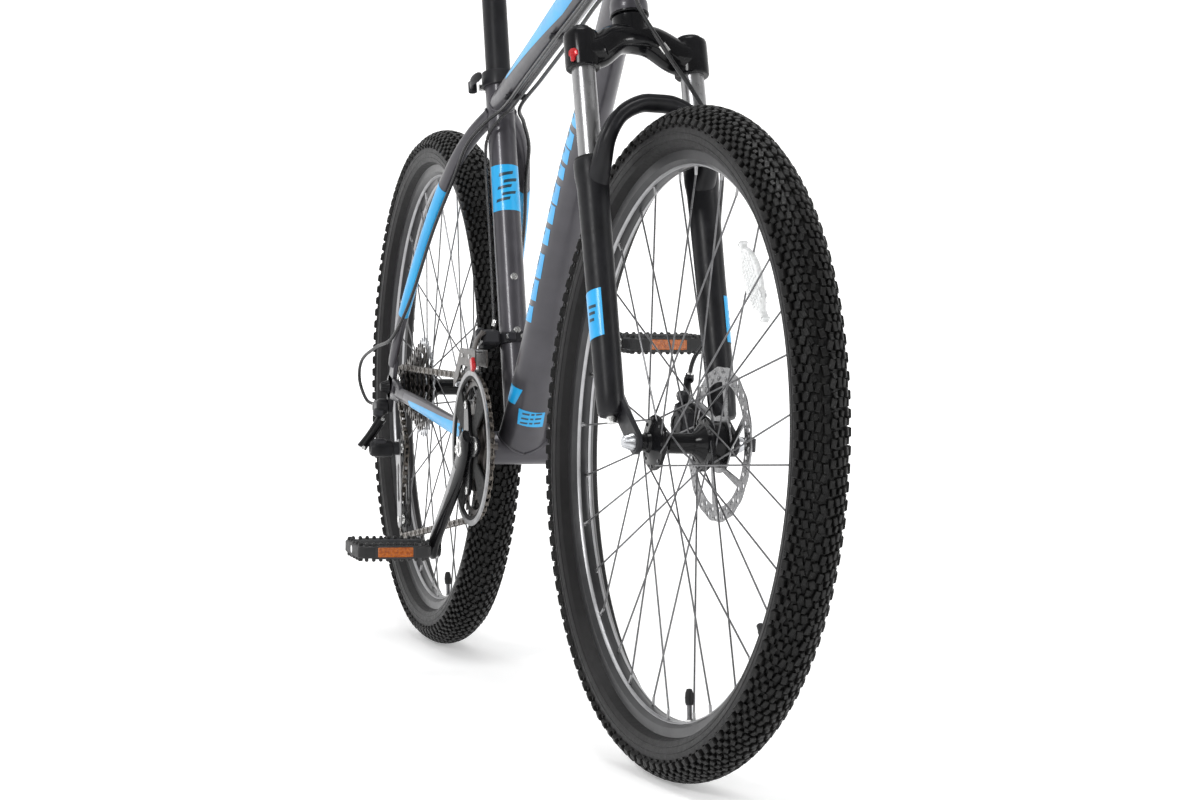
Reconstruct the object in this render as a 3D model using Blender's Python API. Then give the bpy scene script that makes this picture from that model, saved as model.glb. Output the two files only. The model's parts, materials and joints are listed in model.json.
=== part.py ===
"""Mountain bike with a 100 mm suspension fork, disc brakes and a 3x8 drivetrain.

Metres. +X is forward, +Y is the rider's left, +Z is up. The tyres stand on z = 0.
The front end is modelled straight ahead and then turned by STEER about the steering axis.
"""

from math import acos, atan2, ceil, cos, hypot, pi, radians, sin

import bmesh
import bpy
from mathutils import Matrix, Vector

# Driving dimensions
WHEELBASE = 1.073
TYRE_R = 0.344
TYRE_HALF = 0.0273
RIM_IN = 0.2825
BEAD_R = 0.2978
BB_HEIGHT = 0.2926
CHAINSTAY = 0.424
HEAD_ANGLE = radians(70.2)
SEAT_ANGLE = radians(73.3)
FORK_OFFSET = 0.047
STEER = radians(5.8)
FRONT_LIFT = 0.00033
CRANK = 0.170
CRANK_ANGLE = radians(-128.8)
ORIGIN_SHIFT = Vector((0.0003, -0.0062, 0.0))
GAP = 0.0004

FORK_HUB = 0.050
REAR_HUB = 0.0675
LEG_Y = 0.0625
LEG_D = 0.010
SEAL_S = 0.319
CROWN_S = 0.422
HEAD_LOW = 0.495
HEAD_TOP = 0.610
STEM_TOP = 0.6605
SEAT_TUBE_TOP = 0.479
POST_R = 0.0154
SEAT_TUBE_R = 0.01745
CLAMP_S = SEAT_TUBE_TOP - 0.009
ROTOR_R = 0.080
ROTOR_FRONT_Y = 0.0389
ROTOR_REAR_Y = 0.0525
RING_Y = -0.0565
RING_TEETH = 42
COG_TEETH = (11, 13, 15, 18, 21, 24, 28, 32)
COG_STEP = 0.0048
COG_FIRST_Y = -0.0600
CHAIN_COG = 1
PULLEY_TEETH = 11
GUIDE = (-0.528, 0.262)
TENSION = (-0.515, 0.168)
TYRE_STEPS = 36
SPOKES = 32
FLANGE_R = 0.0245
FRONT_FLANGES = (0.021, -0.033)
REAR_FLANGES = (0.034, -0.0185)

BAR_S = 0.645
BAR_AHEAD = 0.075
BAR_HALF = 0.340
BEND_Y = 0.110
BEND_RISE = 0.024
BAR_BACK = 0.158
BAR_UP = 0.060
CONTROL_TILT = radians(38)
LEVER_AT = 0.082
GRIP_LENGTH = 0.125
SADDLE_S = 0.640
RAIL_RISE = 0.024

X = Vector((1, 0, 0))
Y = Vector((0, 1, 0))
Z = Vector((0, 0, 1))
REAR_AXLE = Vector((-WHEELBASE / 2, 0, TYRE_R))
FRONT_AXLE = Vector((WHEELBASE / 2, 0, TYRE_R + FRONT_LIFT))
BB = Vector((-WHEELBASE / 2 + (CHAINSTAY**2 - (TYRE_R - BB_HEIGHT) ** 2) ** 0.5, 0, BB_HEIGHT))
HEAD_AXIS = Vector((-cos(HEAD_ANGLE), 0, sin(HEAD_ANGLE)))
HEAD_AHEAD = Vector((sin(HEAD_ANGLE), 0, cos(HEAD_ANGLE)))
HEAD_FOOT = FRONT_AXLE - HEAD_AHEAD * FORK_OFFSET
SEAT_AXIS = Vector((-cos(SEAT_ANGLE), 0, sin(SEAT_ANGLE)))
SEAT_AHEAD = Vector((sin(SEAT_ANGLE), 0, cos(SEAT_ANGLE)))
TURN = (
    Matrix.Translation(HEAD_FOOT)
    @ Matrix.Rotation(STEER, 4, HEAD_AXIS)
    @ Matrix.Translation(-HEAD_FOOT)
)
BAR = HEAD_FOOT + HEAD_AXIS * BAR_S + HEAD_AHEAD * BAR_AHEAD
SADDLE_PIVOT = BB + SEAT_AXIS * SADDLE_S
RAIL_Z = SADDLE_PIVOT.z + RAIL_RISE
RD_TOP = REAR_AXLE + Vector((-0.009, -0.0745, -0.027))
RD_LINK_TOP = RD_TOP + Vector((0, -0.0075, -0.0165))
RD_LINK_FOOT = RD_TOP + Vector((0, -0.0335, -0.0545))
FD_PIVOT = Vector((-0.148, -0.034, 0.432))
FRONT_CALIPER_WAY = (HEAD_AXIS * 0.513 - HEAD_AHEAD * 0.858).normalized()
REAR_CALIPER_WAY = Vector((cos(radians(22)), 0, sin(radians(22))))
FRONT_ARM_PIVOT = FRONT_AXLE + FRONT_CALIPER_WAY * 0.086 + Y * 0.0470
REAR_ARM_PIVOT = REAR_AXLE + REAR_CALIPER_WAY * 0.086 + Y * 0.0604
FRONT_QUICK_PIVOT = FRONT_AXLE + Y * 0.0735
REAR_QUICK_PIVOT = REAR_AXLE + Y * 0.0912
REAR_QUICK_WAY = Vector((-0.350, 0, 0.937))
FRONT_QUICK_WAY = (HEAD_AXIS * 0.34 - HEAD_AHEAD * 0.94).normalized()
SEAT_QUICK_PIVOT = BB + SEAT_AXIS * CLAMP_S - SEAT_AHEAD * 0.0275 - Y * 0.0272

COLOURS = {
    "frame": ((0.045, 0.043, 0.050), 0.35, 0.8),
    "black_gloss": ((0.012, 0.012, 0.013), 0.25, 0.2),
    "black_satin": ((0.022, 0.022, 0.024), 0.5, 0.2),
    "chrome": ((0.72, 0.73, 0.75), 0.15, 1.0),
    "steel": ((0.55, 0.55, 0.56), 0.3, 1.0),
    "chain": ((0.30, 0.27, 0.24), 0.4, 1.0),
    "rubber": ((0.020, 0.020, 0.021), 0.85, 0.0),
    "plastic": ((0.018, 0.018, 0.019), 0.55, 0.0),
}


def clear_scene():
    for obj in list(bpy.data.objects):
        bpy.data.objects.remove(obj, do_unlink=True)


def pitch_radius(teeth):
    return teeth * 0.0127 / (2 * pi)


def fork_point(s, d=0.0, y=0.0):
    """A point s up the steering axis from axle level, d ahead of it and y to the left."""
    return HEAD_FOOT + HEAD_AXIS * s + HEAD_AHEAD * d + Y * y


def seat_point(s, d=0.0, y=0.0):
    """A point s up the seat tube from the bottom bracket, d ahead of it and y to the left."""
    return BB + SEAT_AXIS * s + SEAT_AHEAD * d + Y * y


def add_material(data, name, finish_name):
    """Gives a mesh or a curve a material of its own."""
    colour, roughness, metallic = COLOURS[finish_name]
    material = bpy.data.materials.new(name)
    material.use_nodes = True
    shader = material.node_tree.nodes["Principled BSDF"]
    shader.inputs["Base Color"].default_value = (*colour, 1)
    shader.inputs["Roughness"].default_value = roughness
    shader.inputs["Metallic"].default_value = metallic
    data.materials.append(material)


def finish(bm, name, finish_name):
    bmesh.ops.recalc_face_normals(bm, faces=bm.faces)
    if bm.calc_volume(signed=True) < 0:
        bmesh.ops.reverse_faces(bm, faces=bm.faces)
    mesh = bpy.data.meshes.new(name)
    bm.to_mesh(mesh)
    bm.free()
    mesh.shade_smooth()
    mesh.set_sharp_from_angle(angle=radians(35))
    obj = bpy.data.objects.new(name, mesh)
    bpy.context.scene.collection.objects.link(obj)
    add_material(mesh, name, finish_name)
    return obj


def add_loft(bm, rings, closed=False):
    """Rings of equal length joined in order, with flat ends unless the loft closes on itself."""
    rows = [[bm.verts.new(point) for point in ring] for ring in rings]
    count = len(rows[0])
    pairs = list(zip(rows, rows[1:]))
    if closed:
        pairs.append((rows[-1], rows[0]))
    for row, following in pairs:
        for i in range(count):
            j = (i + 1) % count
            bm.faces.new((row[i], row[j], following[j], following[i]))
    if not closed:
        bm.faces.new(list(reversed(rows[0])))
        bm.faces.new(rows[-1])


def tangents(points):
    found = []
    for i, _ in enumerate(points):
        before = points[max(i - 1, 0)]
        after = points[min(i + 1, len(points) - 1)]
        found.append((after - before).normalized())
    return found


def section_rings(points, radii, sides, side_hint):
    """An ellipse round each point: radii holds (half width along the hint, half height across it)."""
    rings = []
    for point, along, radius in zip(points, tangents(points), radii):
        side = (side_hint - along * side_hint.dot(along)).normalized()
        up = along.cross(side)
        wide, high = radius if isinstance(radius, tuple) else (radius, radius)
        turns = [2 * pi * (k + 0.5) / sides for k in range(sides)]
        rings.append([point + side * (wide * cos(a)) + up * (high * sin(a)) for a in turns])
    return rings


def tube(name, points, radii, colour, sides=12, side_hint=Y):
    bm = bmesh.new()
    add_loft(bm, section_rings(points, radii, sides, side_hint))
    return finish(bm, name, colour)


def turned(name, profile, origin, axis, colour, steps=20, ring=True, turn=0.5):
    """Revolves (radius, height) points about an axis. A ring profile closes on itself."""
    side = axis.orthogonal().normalized()
    if abs(axis.dot(Y)) > 0.99:
        side = -Z
    other = axis.cross(side)
    bm = bmesh.new()
    columns = []
    for k in range(steps):
        angle = 2 * pi * (k + turn) / steps
        out = side * cos(angle) + other * sin(angle)
        columns.append([origin + out * r + axis * h for r, h in profile])
    if ring:
        add_loft(bm, columns, closed=True)
        return finish(bm, name, colour)
    rows = [[bm.verts.new(column[i]) for column in columns] for i in range(1, len(profile) - 1)]
    first = bm.verts.new(origin + axis * profile[0][1])
    last = bm.verts.new(origin + axis * profile[-1][1])
    for k in range(steps):
        j = (k + 1) % steps
        bm.faces.new((first, rows[0][j], rows[0][k]))
        bm.faces.new((last, rows[-1][k], rows[-1][j]))
        for low, high in zip(rows, rows[1:]):
            bm.faces.new((low[k], low[j], high[j], high[k]))
    return finish(bm, name, colour)


def rod(name, start, end, radius, colour, sides=12):
    axis = (end - start).normalized()
    length = (end - start).length
    return turned(name, [(0, 0), (radius, 0), (radius, length), (0, length)], start, axis, colour,
                  sides, ring=False)


def block(name, size, centre, colour, axes=(X, Y, Z)):
    """A box of the given size along three perpendicular axes."""
    bm = bmesh.new()
    rings = []
    for k in (-0.5, 0.5):
        corners = ((-0.5, -0.5), (0.5, -0.5), (0.5, 0.5), (-0.5, 0.5))
        rings.append([
            centre + axes[0] * (a * size[0]) + axes[1] * (b * size[1]) + axes[2] * (k * size[2])
            for a, b in corners
        ])
    add_loft(bm, rings)
    return finish(bm, name, colour)


def plate(name, outline, low, high, colour):
    """An outline of (x, z) points, extruded along Y from low to high."""
    bm = bmesh.new()
    add_loft(bm, [[Vector((x, y, z)) for x, z in outline] for y in (low, high)])
    return finish(bm, name, colour)


def capsule(start, end, start_r, end_r, steps=5):
    """The outline round two circles in the XZ plane."""
    along = Vector((end[0] - start[0], end[1] - start[1]))
    heading = atan2(along.y, along.x)
    lean = acos((start_r - end_r) / along.length)
    outline = []
    for centre, radius, first, last in (
        (end, end_r, -lean, lean),
        (start, start_r, lean, 2 * pi - lean),
    ):
        for k in range(steps + 1):
            angle = heading + first + (last - first) * k / steps
            outline.append((centre[0] + radius * cos(angle), centre[1] + radius * sin(angle)))
    return outline


def combine(base, others, operation):
    """Applies a Boolean of base with the others, and removes the others. The base keeps its own material."""
    for other in others:
        modifier = base.modifiers.new(operation.lower(), "BOOLEAN")
        modifier.operation = operation
        modifier.solver = "EXACT"
        modifier.object = other
    graph = bpy.context.evaluated_depsgraph_get()
    mesh = bpy.data.meshes.new_from_object(base.evaluated_get(graph))
    old = base.data
    base.modifiers.clear()
    base.data = mesh
    bpy.data.meshes.remove(old)
    for other in others:
        bpy.data.objects.remove(other, do_unlink=True)
    mesh.name = base.name
    return base


def unite(base, *others):
    return combine(base, others, "UNION")


def cut(base, *others):
    return combine(base, others, "DIFFERENCE")


# Frame


def head_tube():
    profile = [(0.0165, HEAD_LOW), (0.0205, HEAD_LOW), (0.0205, HEAD_LOW + 0.008),
               (0.0190, HEAD_LOW + 0.014), (0.0190, HEAD_TOP - 0.012), (0.0202, HEAD_TOP - 0.006),
               (0.0202, HEAD_TOP), (0.0165, HEAD_TOP)]
    return turned("head_tube", profile, HEAD_FOOT, HEAD_AXIS, "frame", 20)


def head_cutter():
    return rod("head_cutter", fork_point(HEAD_LOW - 0.1), fork_point(HEAD_TOP + 0.1), 0.0212, "frame", 24)


def seat_cutter():
    return rod("seat_cutter", seat_point(-0.1), seat_point(0.6), SEAT_TUBE_R + 0.0007, "frame", 24)


def bracket_cutter():
    return rod("bracket_cutter", BB - Y * 0.1, BB + Y * 0.1, 0.0207, "frame", 24)


def top_tube():
    front = fork_point(HEAD_TOP - 0.024)
    back = seat_point(0.437)
    points = [front.lerp(back, t) for t in (0, 0.25, 0.6, 1)]
    obj = tube("top_tube", points, [(0.0165, 0.021), (0.0185, 0.020), (0.017, 0.017), (0.0155, 0.015)],
               "frame", 12)
    return cut(obj, head_cutter(), seat_cutter())


def down_tube():
    top = fork_point(HEAD_LOW + 0.040)
    middle = top.lerp(BB, 0.45) + Vector((-0.010, 0, 0.008))
    points = [top, top.lerp(BB, 0.2) + Vector((-0.004, 0, 0.003)), middle, top.lerp(BB, 0.8), BB.copy()]
    radii = [(0.0175, 0.027), (0.019, 0.028), (0.0225, 0.026), (0.027, 0.022), (0.031, 0.0185)]
    obj = tube("down_tube", points, radii, "frame", 14)
    return cut(obj, head_cutter(), bracket_cutter(), seat_cutter())


def seat_tube():
    """The seat tube, open at the top for the post, and the bottom bracket shell under it."""
    profile = [(0, 0), (SEAT_TUBE_R, 0), (SEAT_TUBE_R, SEAT_TUBE_TOP), (POST_R + GAP, SEAT_TUBE_TOP),
               (POST_R + GAP, 0.03), (0, 0.03)]
    obj = turned("seat_tube", profile, BB.copy(), SEAT_AXIS, "frame", 20, ring=False)
    shell = rod("shell", BB - Y * 0.0365, BB + Y * 0.0365, 0.020, "frame", 20)
    bore = rod("bore", BB - Y * 0.05, BB + Y * 0.05, 0.0125, "frame", 16)
    return cut(unite(obj, shell), bore)


def dropout(side):
    outline = capsule((REAR_AXLE.x, REAR_AXLE.z), (REAR_AXLE.x + 0.052, REAR_AXLE.z - 0.006), 0.017, 0.011)
    low, high = sorted((side * (REAR_HUB + GAP), side * (REAR_HUB + 0.0064)))
    return plate("dropout", outline, low, high, "frame")


def axle_cutter(axle, radius=0.0045):
    return rod("axle_cutter", axle - Y * 0.1, axle + Y * 0.1, radius, "frame", 12)


def chainstay(name, side):
    route = [(BB.x, 0.027, BB.z), (-0.165, 0.0335, 0.3000), (-0.200, 0.0415, 0.3045), (-0.270, 0.050, 0.3120),
             (-0.360, 0.058, 0.3235), (-0.440, 0.0655, 0.3330), (-0.488, 0.0705, 0.3380)]
    points = [Vector((x, side * y, z)) for x, y, z in route]
    radii = [(0.0075, 0.012), (0.0062, 0.012), (0.0072, 0.012), (0.008, 0.011), (0.008, 0.010),
             (0.0075, 0.009), (0.006, 0.008)]
    obj = cut(tube(name, points, radii, "frame", 8), bracket_cutter(), seat_cutter())
    hanger = []
    if side < 0:
        outline = capsule((REAR_AXLE.x, REAR_AXLE.z), (RD_TOP.x, RD_TOP.z), 0.012, 0.008)
        low = -(REAR_HUB + 0.0064)
        hanger = [plate("hanger", outline, low, -(REAR_HUB + GAP), "frame")]
    unite(obj, dropout(side), *hanger)
    return cut(obj, axle_cutter(REAR_AXLE))


def seatstay(name, side):
    route = [(-0.242, 0.010, 0.700), (-0.264, 0.030, 0.673), (-0.300, 0.047, 0.632), (-0.360, 0.060, 0.563),
             (-0.440, 0.0700, 0.468), (-0.500, 0.0740, 0.395), (-0.516, 0.0745, 0.375)]
    points = [Vector((x, side * y, z)) for x, y, z in route]
    radii = [(0.011, 0.009), (0.010, 0.009), (0.008, 0.010), (0.0075, 0.010), (0.007, 0.009),
             (0.006, 0.008), (0.005, 0.007)]
    obj = tube(name, points, radii, "frame", 8)
    middle = block("middle", (0.3, 0.2, 0.3), Vector((-0.25, -side * 0.0997, 0.70)), "frame")
    return cut(obj, seat_cutter(), middle)


def seat_clamp():
    low = SEAT_TUBE_TOP - 0.018
    profile = [(SEAT_TUBE_R + GAP, low), (0.0212, low), (0.0212, SEAT_TUBE_TOP),
               (SEAT_TUBE_R + GAP, SEAT_TUBE_TOP)]
    obj = turned("seat_clamp", profile, BB.copy(), SEAT_AXIS, "black_satin", 20)
    ears = block("ears", (0.016, 0.020, 0.014), seat_point(CLAMP_S, -0.0265), "black_satin",
                 (SEAT_AHEAD, Y, SEAT_AXIS))
    bolt = rod("bolt", seat_point(CLAMP_S, -0.0275, 0.013), seat_point(CLAMP_S, -0.0275, -0.0195), 0.0042,
               "steel", 10)
    return unite(obj, ears, bolt)


def quick_lever(name, pivot, along, outward, length, colour="black_satin"):
    """A cam lever: a boss on the pivot and a slightly bowed blade."""
    across = along.cross(outward)
    blade = [pivot + along * (length * t) + outward * (0.006 * sin(pi * t)) for t in (0, 0.3, 0.7, 1)]
    obj = tube(name, blade, [(0.006, 0.0025), (0.005, 0.0022), (0.0065, 0.0020), (0.005, 0.0015)], colour, 8,
               across)
    boss = rod("boss", pivot - across * 0.007, pivot + across * 0.007, 0.0055, colour, 10)
    obj = unite(obj, boss)
    set_origin(obj, pivot)
    return obj


def set_origin(obj, point):
    obj.data.transform(Matrix.Translation(-point))
    obj.location = point


def skewer(name, axle, half, colour="steel"):
    """A thin rod with a nut on the right and a cam housing on the left."""
    face = half + 0.0068
    profile = [(0, -face - 0.011), (0.0065, -face - 0.011), (0.0085, -face), (0.0025, -face), (0.0025, face),
               (0.0085, face), (0.0085, face + 0.008), (0, face + 0.008)]
    return turned(name, profile, axle, Y, colour, 12, ring=False)


# Wheels


def tyre(name, axle):
    grow = 1 / cos(pi / TYRE_STEPS)
    tread = TYRE_R * grow
    profile = [(BEAD_R + GAP, -0.0105), (BEAD_R + GAP, -0.0125), (0.312, -TYRE_HALF + 0.0015),
               (0.325, -TYRE_HALF), (0.338, -0.0215), (tread, -0.012), (tread, 0.012), (0.338, 0.0215),
               (0.325, TYRE_HALF), (0.312, TYRE_HALF - 0.0015), (BEAD_R + GAP, 0.0125),
               (BEAD_R + GAP, 0.0105), (0.322, 0.0225), (0.336, 0.0), (0.322, -0.0225)]
    return turned(name, profile, axle, Y, "rubber", TYRE_STEPS)


def rim(name, axle):
    profile = [(RIM_IN, -0.006), (RIM_IN, 0.006), (0.288, 0.0125), (BEAD_R, 0.0125), (BEAD_R, 0.0108),
               (0.2905, 0.0095), (0.2905, -0.0095), (BEAD_R, -0.0108), (BEAD_R, -0.0125), (0.288, -0.0125)]
    return turned(name, profile, axle, Y, "black_gloss", TYRE_STEPS)


def spoke_ends(side, number, flange_y, flange_r):
    """Both ends of one three-cross spoke, about the wheel's centre, as (x, y, z)."""
    step = 4 * pi / SPOKES
    base = number * step + (step / 2 if side > 0 else 0)
    lean = 3 * step if number % 2 else -3 * step
    head_y = flange_y + (0.0014 if number % 2 else -0.0014)
    head = Vector((flange_r * cos(base), head_y, flange_r * sin(base)))
    nipple_r = RIM_IN - 0.0030
    foot = Vector((nipple_r * cos(base + lean), 0.002 * side, nipple_r * sin(base + lean)))
    return head, foot


def spokes(name, axle, flanges):
    """All the spokes, joined by a thin hoop where their nipples meet the rim."""
    hoop_out = RIM_IN - 0.0005
    profile = [(hoop_out - 0.0035, -0.004), (hoop_out, -0.004), (hoop_out, 0.004), (hoop_out - 0.0035, 0.004)]
    hoop = turned(name, profile, axle, Y, "steel", TYRE_STEPS)
    bm = bmesh.new()
    for side, flange_y in zip((1, -1), flanges):
        for number in range(SPOKES // 2):
            head, foot = spoke_ends(side, number, flange_y, FLANGE_R)
            add_loft(bm, section_rings([axle + head, axle + foot], [0.0010, 0.0010], 3, Y))
    return unite(hoop, finish(bm, "all_spokes", "steel"))


def hub(name, axle, half, flanges, rotor_y):
    """Hub shell with both spoke flanges and the brake rotor bolted to its left end."""
    left_y, right_y = flanges
    profile = [(0.0033, -half + GAP), (0.009, -half + GAP), (0.010, right_y - 0.004),
               (0.023, right_y - 0.0015), (0.023, right_y + 0.0015), (0.012, right_y + 0.004),
               (0.012, left_y - 0.004),
               (0.023, left_y - 0.0015), (0.023, left_y + 0.0015), (0.018, left_y + 0.004),
               (0.018, rotor_y - 0.0009), (ROTOR_R, rotor_y - 0.0009), (ROTOR_R, rotor_y + 0.0009),
               (0.014, rotor_y + 0.0009), (0.009, half - GAP), (0.0033, half - GAP)]
    return turned(name, profile, axle, Y, "black_satin", 20)


def caliper(name, axle, toward, rotor_y, low_y, high_y):
    """A caliper body that straddles the rotor, with a slot open towards the axle."""
    across = toward.cross(Y)
    centre = axle + toward * 0.078 + Y * ((low_y + high_y) / 2)
    obj = block(name, (0.036, high_y - low_y, 0.044), centre, "black_satin", (toward, Y, across))
    slot = block("slot", (0.060, 0.0040, 0.06), axle + toward * 0.0535 + Y * rotor_y, "black_satin",
                 (toward, Y, across))
    return cut(obj, slot)


def caliper_arm(name, pivot, along, side):
    """A cable arm that turns about Y on the caliper's outer face."""
    tip = pivot + along * 0.034
    low, high = sorted((pivot.y, pivot.y + side * 0.0035))
    outline = capsule((pivot.x, pivot.z), (tip.x, tip.z), 0.008, 0.0045, 4)
    obj = plate(name, outline, low, high, "black_satin")
    set_origin(obj, Vector((pivot.x, (low + high) / 2, pivot.z)))
    return obj


# Fork


def fork_crown():
    """Steerer tube, crown, both stanchions and their caps, pressed together for life."""
    crown_path = [(-1, 0.0190, LEG_D, 0.0), (-0.72, 0.0188, LEG_D, 0.001), (-0.35, 0.0175, 0.005, 0.017),
                  (0, 0.0165, 0.002, 0.021), (0.35, 0.0175, 0.005, 0.017), (0.72, 0.0188, LEG_D, 0.001),
                  (1, 0.0190, LEG_D, 0.0)]
    points = [fork_point(CROWN_S + 0.0190 + rise, d, LEG_Y * t) for t, _, d, rise in crown_path]
    radii = [(0.019, high) for _, high, _, _ in crown_path]
    bm = bmesh.new()
    add_loft(bm, section_rings(points, radii, 8, HEAD_AHEAD))
    obj = finish(bm, "fork_crown", "black_gloss")
    added = [rod("steerer", fork_point(CROWN_S + 0.035), fork_point(0.652), 0.0143, "black_gloss", 16)]
    for side in (-1, 1):
        y = side * LEG_Y
        added.append(rod("shoulder", fork_point(CROWN_S, LEG_D, y), fork_point(0.4605, LEG_D, y), 0.0185,
                         "black_gloss", 14))
        added.append(rod("stanchion", fork_point(0.205, LEG_D, y), fork_point(0.466, LEG_D, y), 0.0127,
                         "chrome", 16))
    race = rod("race", fork_point(0.470), fork_point(HEAD_LOW - GAP), 0.0190, "black_gloss", 16)
    return unite(obj, race, *added)


def fork_lowers():
    """Both legs, the arch and the dropouts, cast in one piece, bored for the stanchions."""
    legs = []
    for side in (-1, 1):
        y = side * LEG_Y
        steps = ((0.040, 0.0145), (0.060, 0.0150), (0.200, 0.0160), (0.290, 0.0170), (0.300, 0.0185),
                 (SEAL_S, 0.0185))
        points = [fork_point(s, LEG_D, y) for s, _ in steps]
        legs.append(tube("leg", points, [r for _, r in steps], "black_satin", 14, Y))
        inner, outer = sorted((side * (FORK_HUB + GAP), side * (FORK_HUB + 0.0066)))
        axle = fork_point(0, FORK_OFFSET)
        foot = fork_point(0.050, LEG_D)
        outline = capsule((axle.x, axle.z), (foot.x, foot.z), 0.0125, 0.0110)
        legs.append(plate("fin", outline, inner, outer, "black_satin"))
    half_arch = [(0.286, 0.014, 0.0600), (0.306, 0.032, 0.0600), (0.330, 0.045, 0.0560),
                 (0.353, 0.050, 0.0420), (0.366, 0.051, 0.0200)]
    arch = [fork_point(s, d, -y) for s, d, y in half_arch]
    arch.append(fork_point(0.368, 0.051))
    arch += [fork_point(s, d, y) for s, d, y in reversed(half_arch)]
    radii = [(0.011, 0.0085)] * len(arch)
    obj = tube("fork_lowers", arch, radii, "black_satin", 8, HEAD_AHEAD)
    unite(obj, *legs)
    bores = [rod("bore", fork_point(0.098, LEG_D, side * LEG_Y), fork_point(0.36, LEG_D, side * LEG_Y),
                 0.0131, "black_satin", 16) for side in (-1, 1)]
    return cut(obj, axle_cutter(FRONT_AXLE), *bores)


# Cockpit


def bar_point(side, distance):
    """A point on the straight outer part of the bar, distance from the bend towards the end."""
    bend = BAR + Vector((0, side * BEND_Y, BEND_RISE))
    return bend + Vector((-BAR_BACK, side, BAR_UP)) * distance


def bar_axes(side):
    """(outward, ahead, down) unit vectors of the controls on one side of the bar."""
    outward = Vector((-BAR_BACK, side, BAR_UP)).normalized()
    ahead = Vector((cos(CONTROL_TILT), 0, -sin(CONTROL_TILT)))
    ahead = (ahead - outward * ahead.dot(outward)).normalized()
    down = outward.cross(ahead) * side
    if down.z > 0:
        down = -down
    return outward, ahead, down


def handlebar():
    reach = BAR_HALF - BEND_Y
    left = [bar_point(1, reach), bar_point(1, reach * 0.5), bar_point(1, 0)]
    right = [bar_point(-1, 0), bar_point(-1, reach * 0.5), bar_point(-1, reach)]
    middle = [BAR + Y * 0.055, BAR + Y * 0.030, BAR - Y * 0.030, BAR - Y * 0.055]
    radii = [0.011, 0.011, 0.011, 0.0150, 0.0157, 0.0157, 0.0150, 0.011, 0.011, 0.011]
    return tube("handlebar", left + middle + right, radii, "black_satin", 10, Z)


def stem():
    """Stem body, bar clamp and top cap, on the steerer."""
    collar = [(0.0147, HEAD_TOP + 0.005), (0.0195, HEAD_TOP + 0.005), (0.0195, 0.655), (0.0147, 0.655)]
    obj = turned("stem", collar, HEAD_FOOT, HEAD_AXIS, "black_satin", 16)
    arm = tube("arm", [fork_point(0.634, 0.0175), fork_point(0.641, 0.064)], [(0.015, 0.016), (0.019, 0.014)],
               "black_satin", 10, Y)
    sleeve = rod("sleeve", BAR - Y * 0.022, BAR + Y * 0.022, 0.0205, "black_satin", 16)
    hole = rod("hole", BAR - Y * 0.04, BAR + Y * 0.04, 0.0162, "black_satin", 16)
    cap = rod("cap", fork_point(0.6540), fork_point(STEM_TOP), 0.0165, "black_satin", 16)
    return cut(unite(obj, arm, sleeve, cap), hole)


def grip(name, side):
    reach = BAR_HALF - BEND_Y
    start = bar_point(side, reach - GRIP_LENGTH)
    axis = (bar_point(side, reach) - start).normalized()
    profile = [(0.0114, 0), (0.0170, 0), (0.0170, 0.006), (0.0155, 0.010), (0.0155, 0.115),
               (0.0165, GRIP_LENGTH), (0.0114, GRIP_LENGTH)]
    return turned(name, profile, start, axis, "rubber", 14)


def control_pod(name, side):
    """Brake perch and shifter housing on one clamp."""
    outward, ahead, down = bar_axes(side)
    start = bar_point(side, 0.066)
    collar = [(0.0114, 0), (0.0155, 0), (0.0155, 0.030), (0.0114, 0.030)]
    obj = turned(name, collar, start, outward, "black_satin", 14)
    perch = block("perch", (0.022, 0.030, 0.0090), start + outward * 0.015 + ahead * 0.026, "black_satin",
                  (outward, ahead, down))
    shifter = block("shifter", (0.036, 0.034, 0.013), start + outward * 0.014 + down * 0.0215 + ahead * 0.006,
                    "black_satin", (outward, ahead, down))
    hole = rod("hole", start - outward * 0.05, start + outward * 0.08, 0.0114, "black_satin", 14)
    return cut(unite(obj, perch, shifter), hole)


def lever_pivot(side):
    _, ahead, _ = bar_axes(side)
    return bar_point(side, LEVER_AT) + ahead * 0.048


def brake_lever(name, side):
    outward, ahead, down = bar_axes(side)
    pivot = lever_pivot(side)
    path = [(-0.008, -0.001), (0.012, 0.002), (0.030, 0.013), (0.075, 0.011), (0.102, 0.009), (0.112, 0.014)]
    points = [pivot + outward * a + ahead * b for a, b in path]
    radii = [(0.0045, 0.006), (0.0045, 0.006), (0.006, 0.0045), (0.006, 0.004), (0.0055, 0.004),
             (0.004, 0.003)]
    obj = tube(name, points, radii, "black_satin", 8, down)
    set_origin(obj, pivot)
    return obj


def thumb_pivot(side):
    outward, ahead, down = bar_axes(side)
    return bar_point(side, LEVER_AT) + down * 0.0315 + ahead * 0.004


def thumb_lever(name, side):
    outward, ahead, down = bar_axes(side)
    pivot = thumb_pivot(side)
    path = [(-0.002, 0.004), (0.012, -0.008), (0.030, -0.022), (0.040, -0.026)]
    points = [pivot + outward * a + ahead * b for a, b in path]
    radii = [(0.0025, 0.007), (0.0022, 0.005), (0.003, 0.007), (0.003, 0.006)]
    obj = tube(name, points, radii, "plastic", 8, down)
    set_origin(obj, pivot)
    return obj


# Seat


def seatpost():
    obj = rod("seatpost", seat_point(0.310), SADDLE_PIVOT.copy(), POST_R, "black_satin", 20)
    head = rod("head", SADDLE_PIVOT - Y * 0.017, SADDLE_PIVOT + Y * 0.017, 0.0135, "black_satin", 14)
    obj = unite(obj, head)
    set_origin(obj, SADDLE_PIVOT)
    return obj


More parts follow.
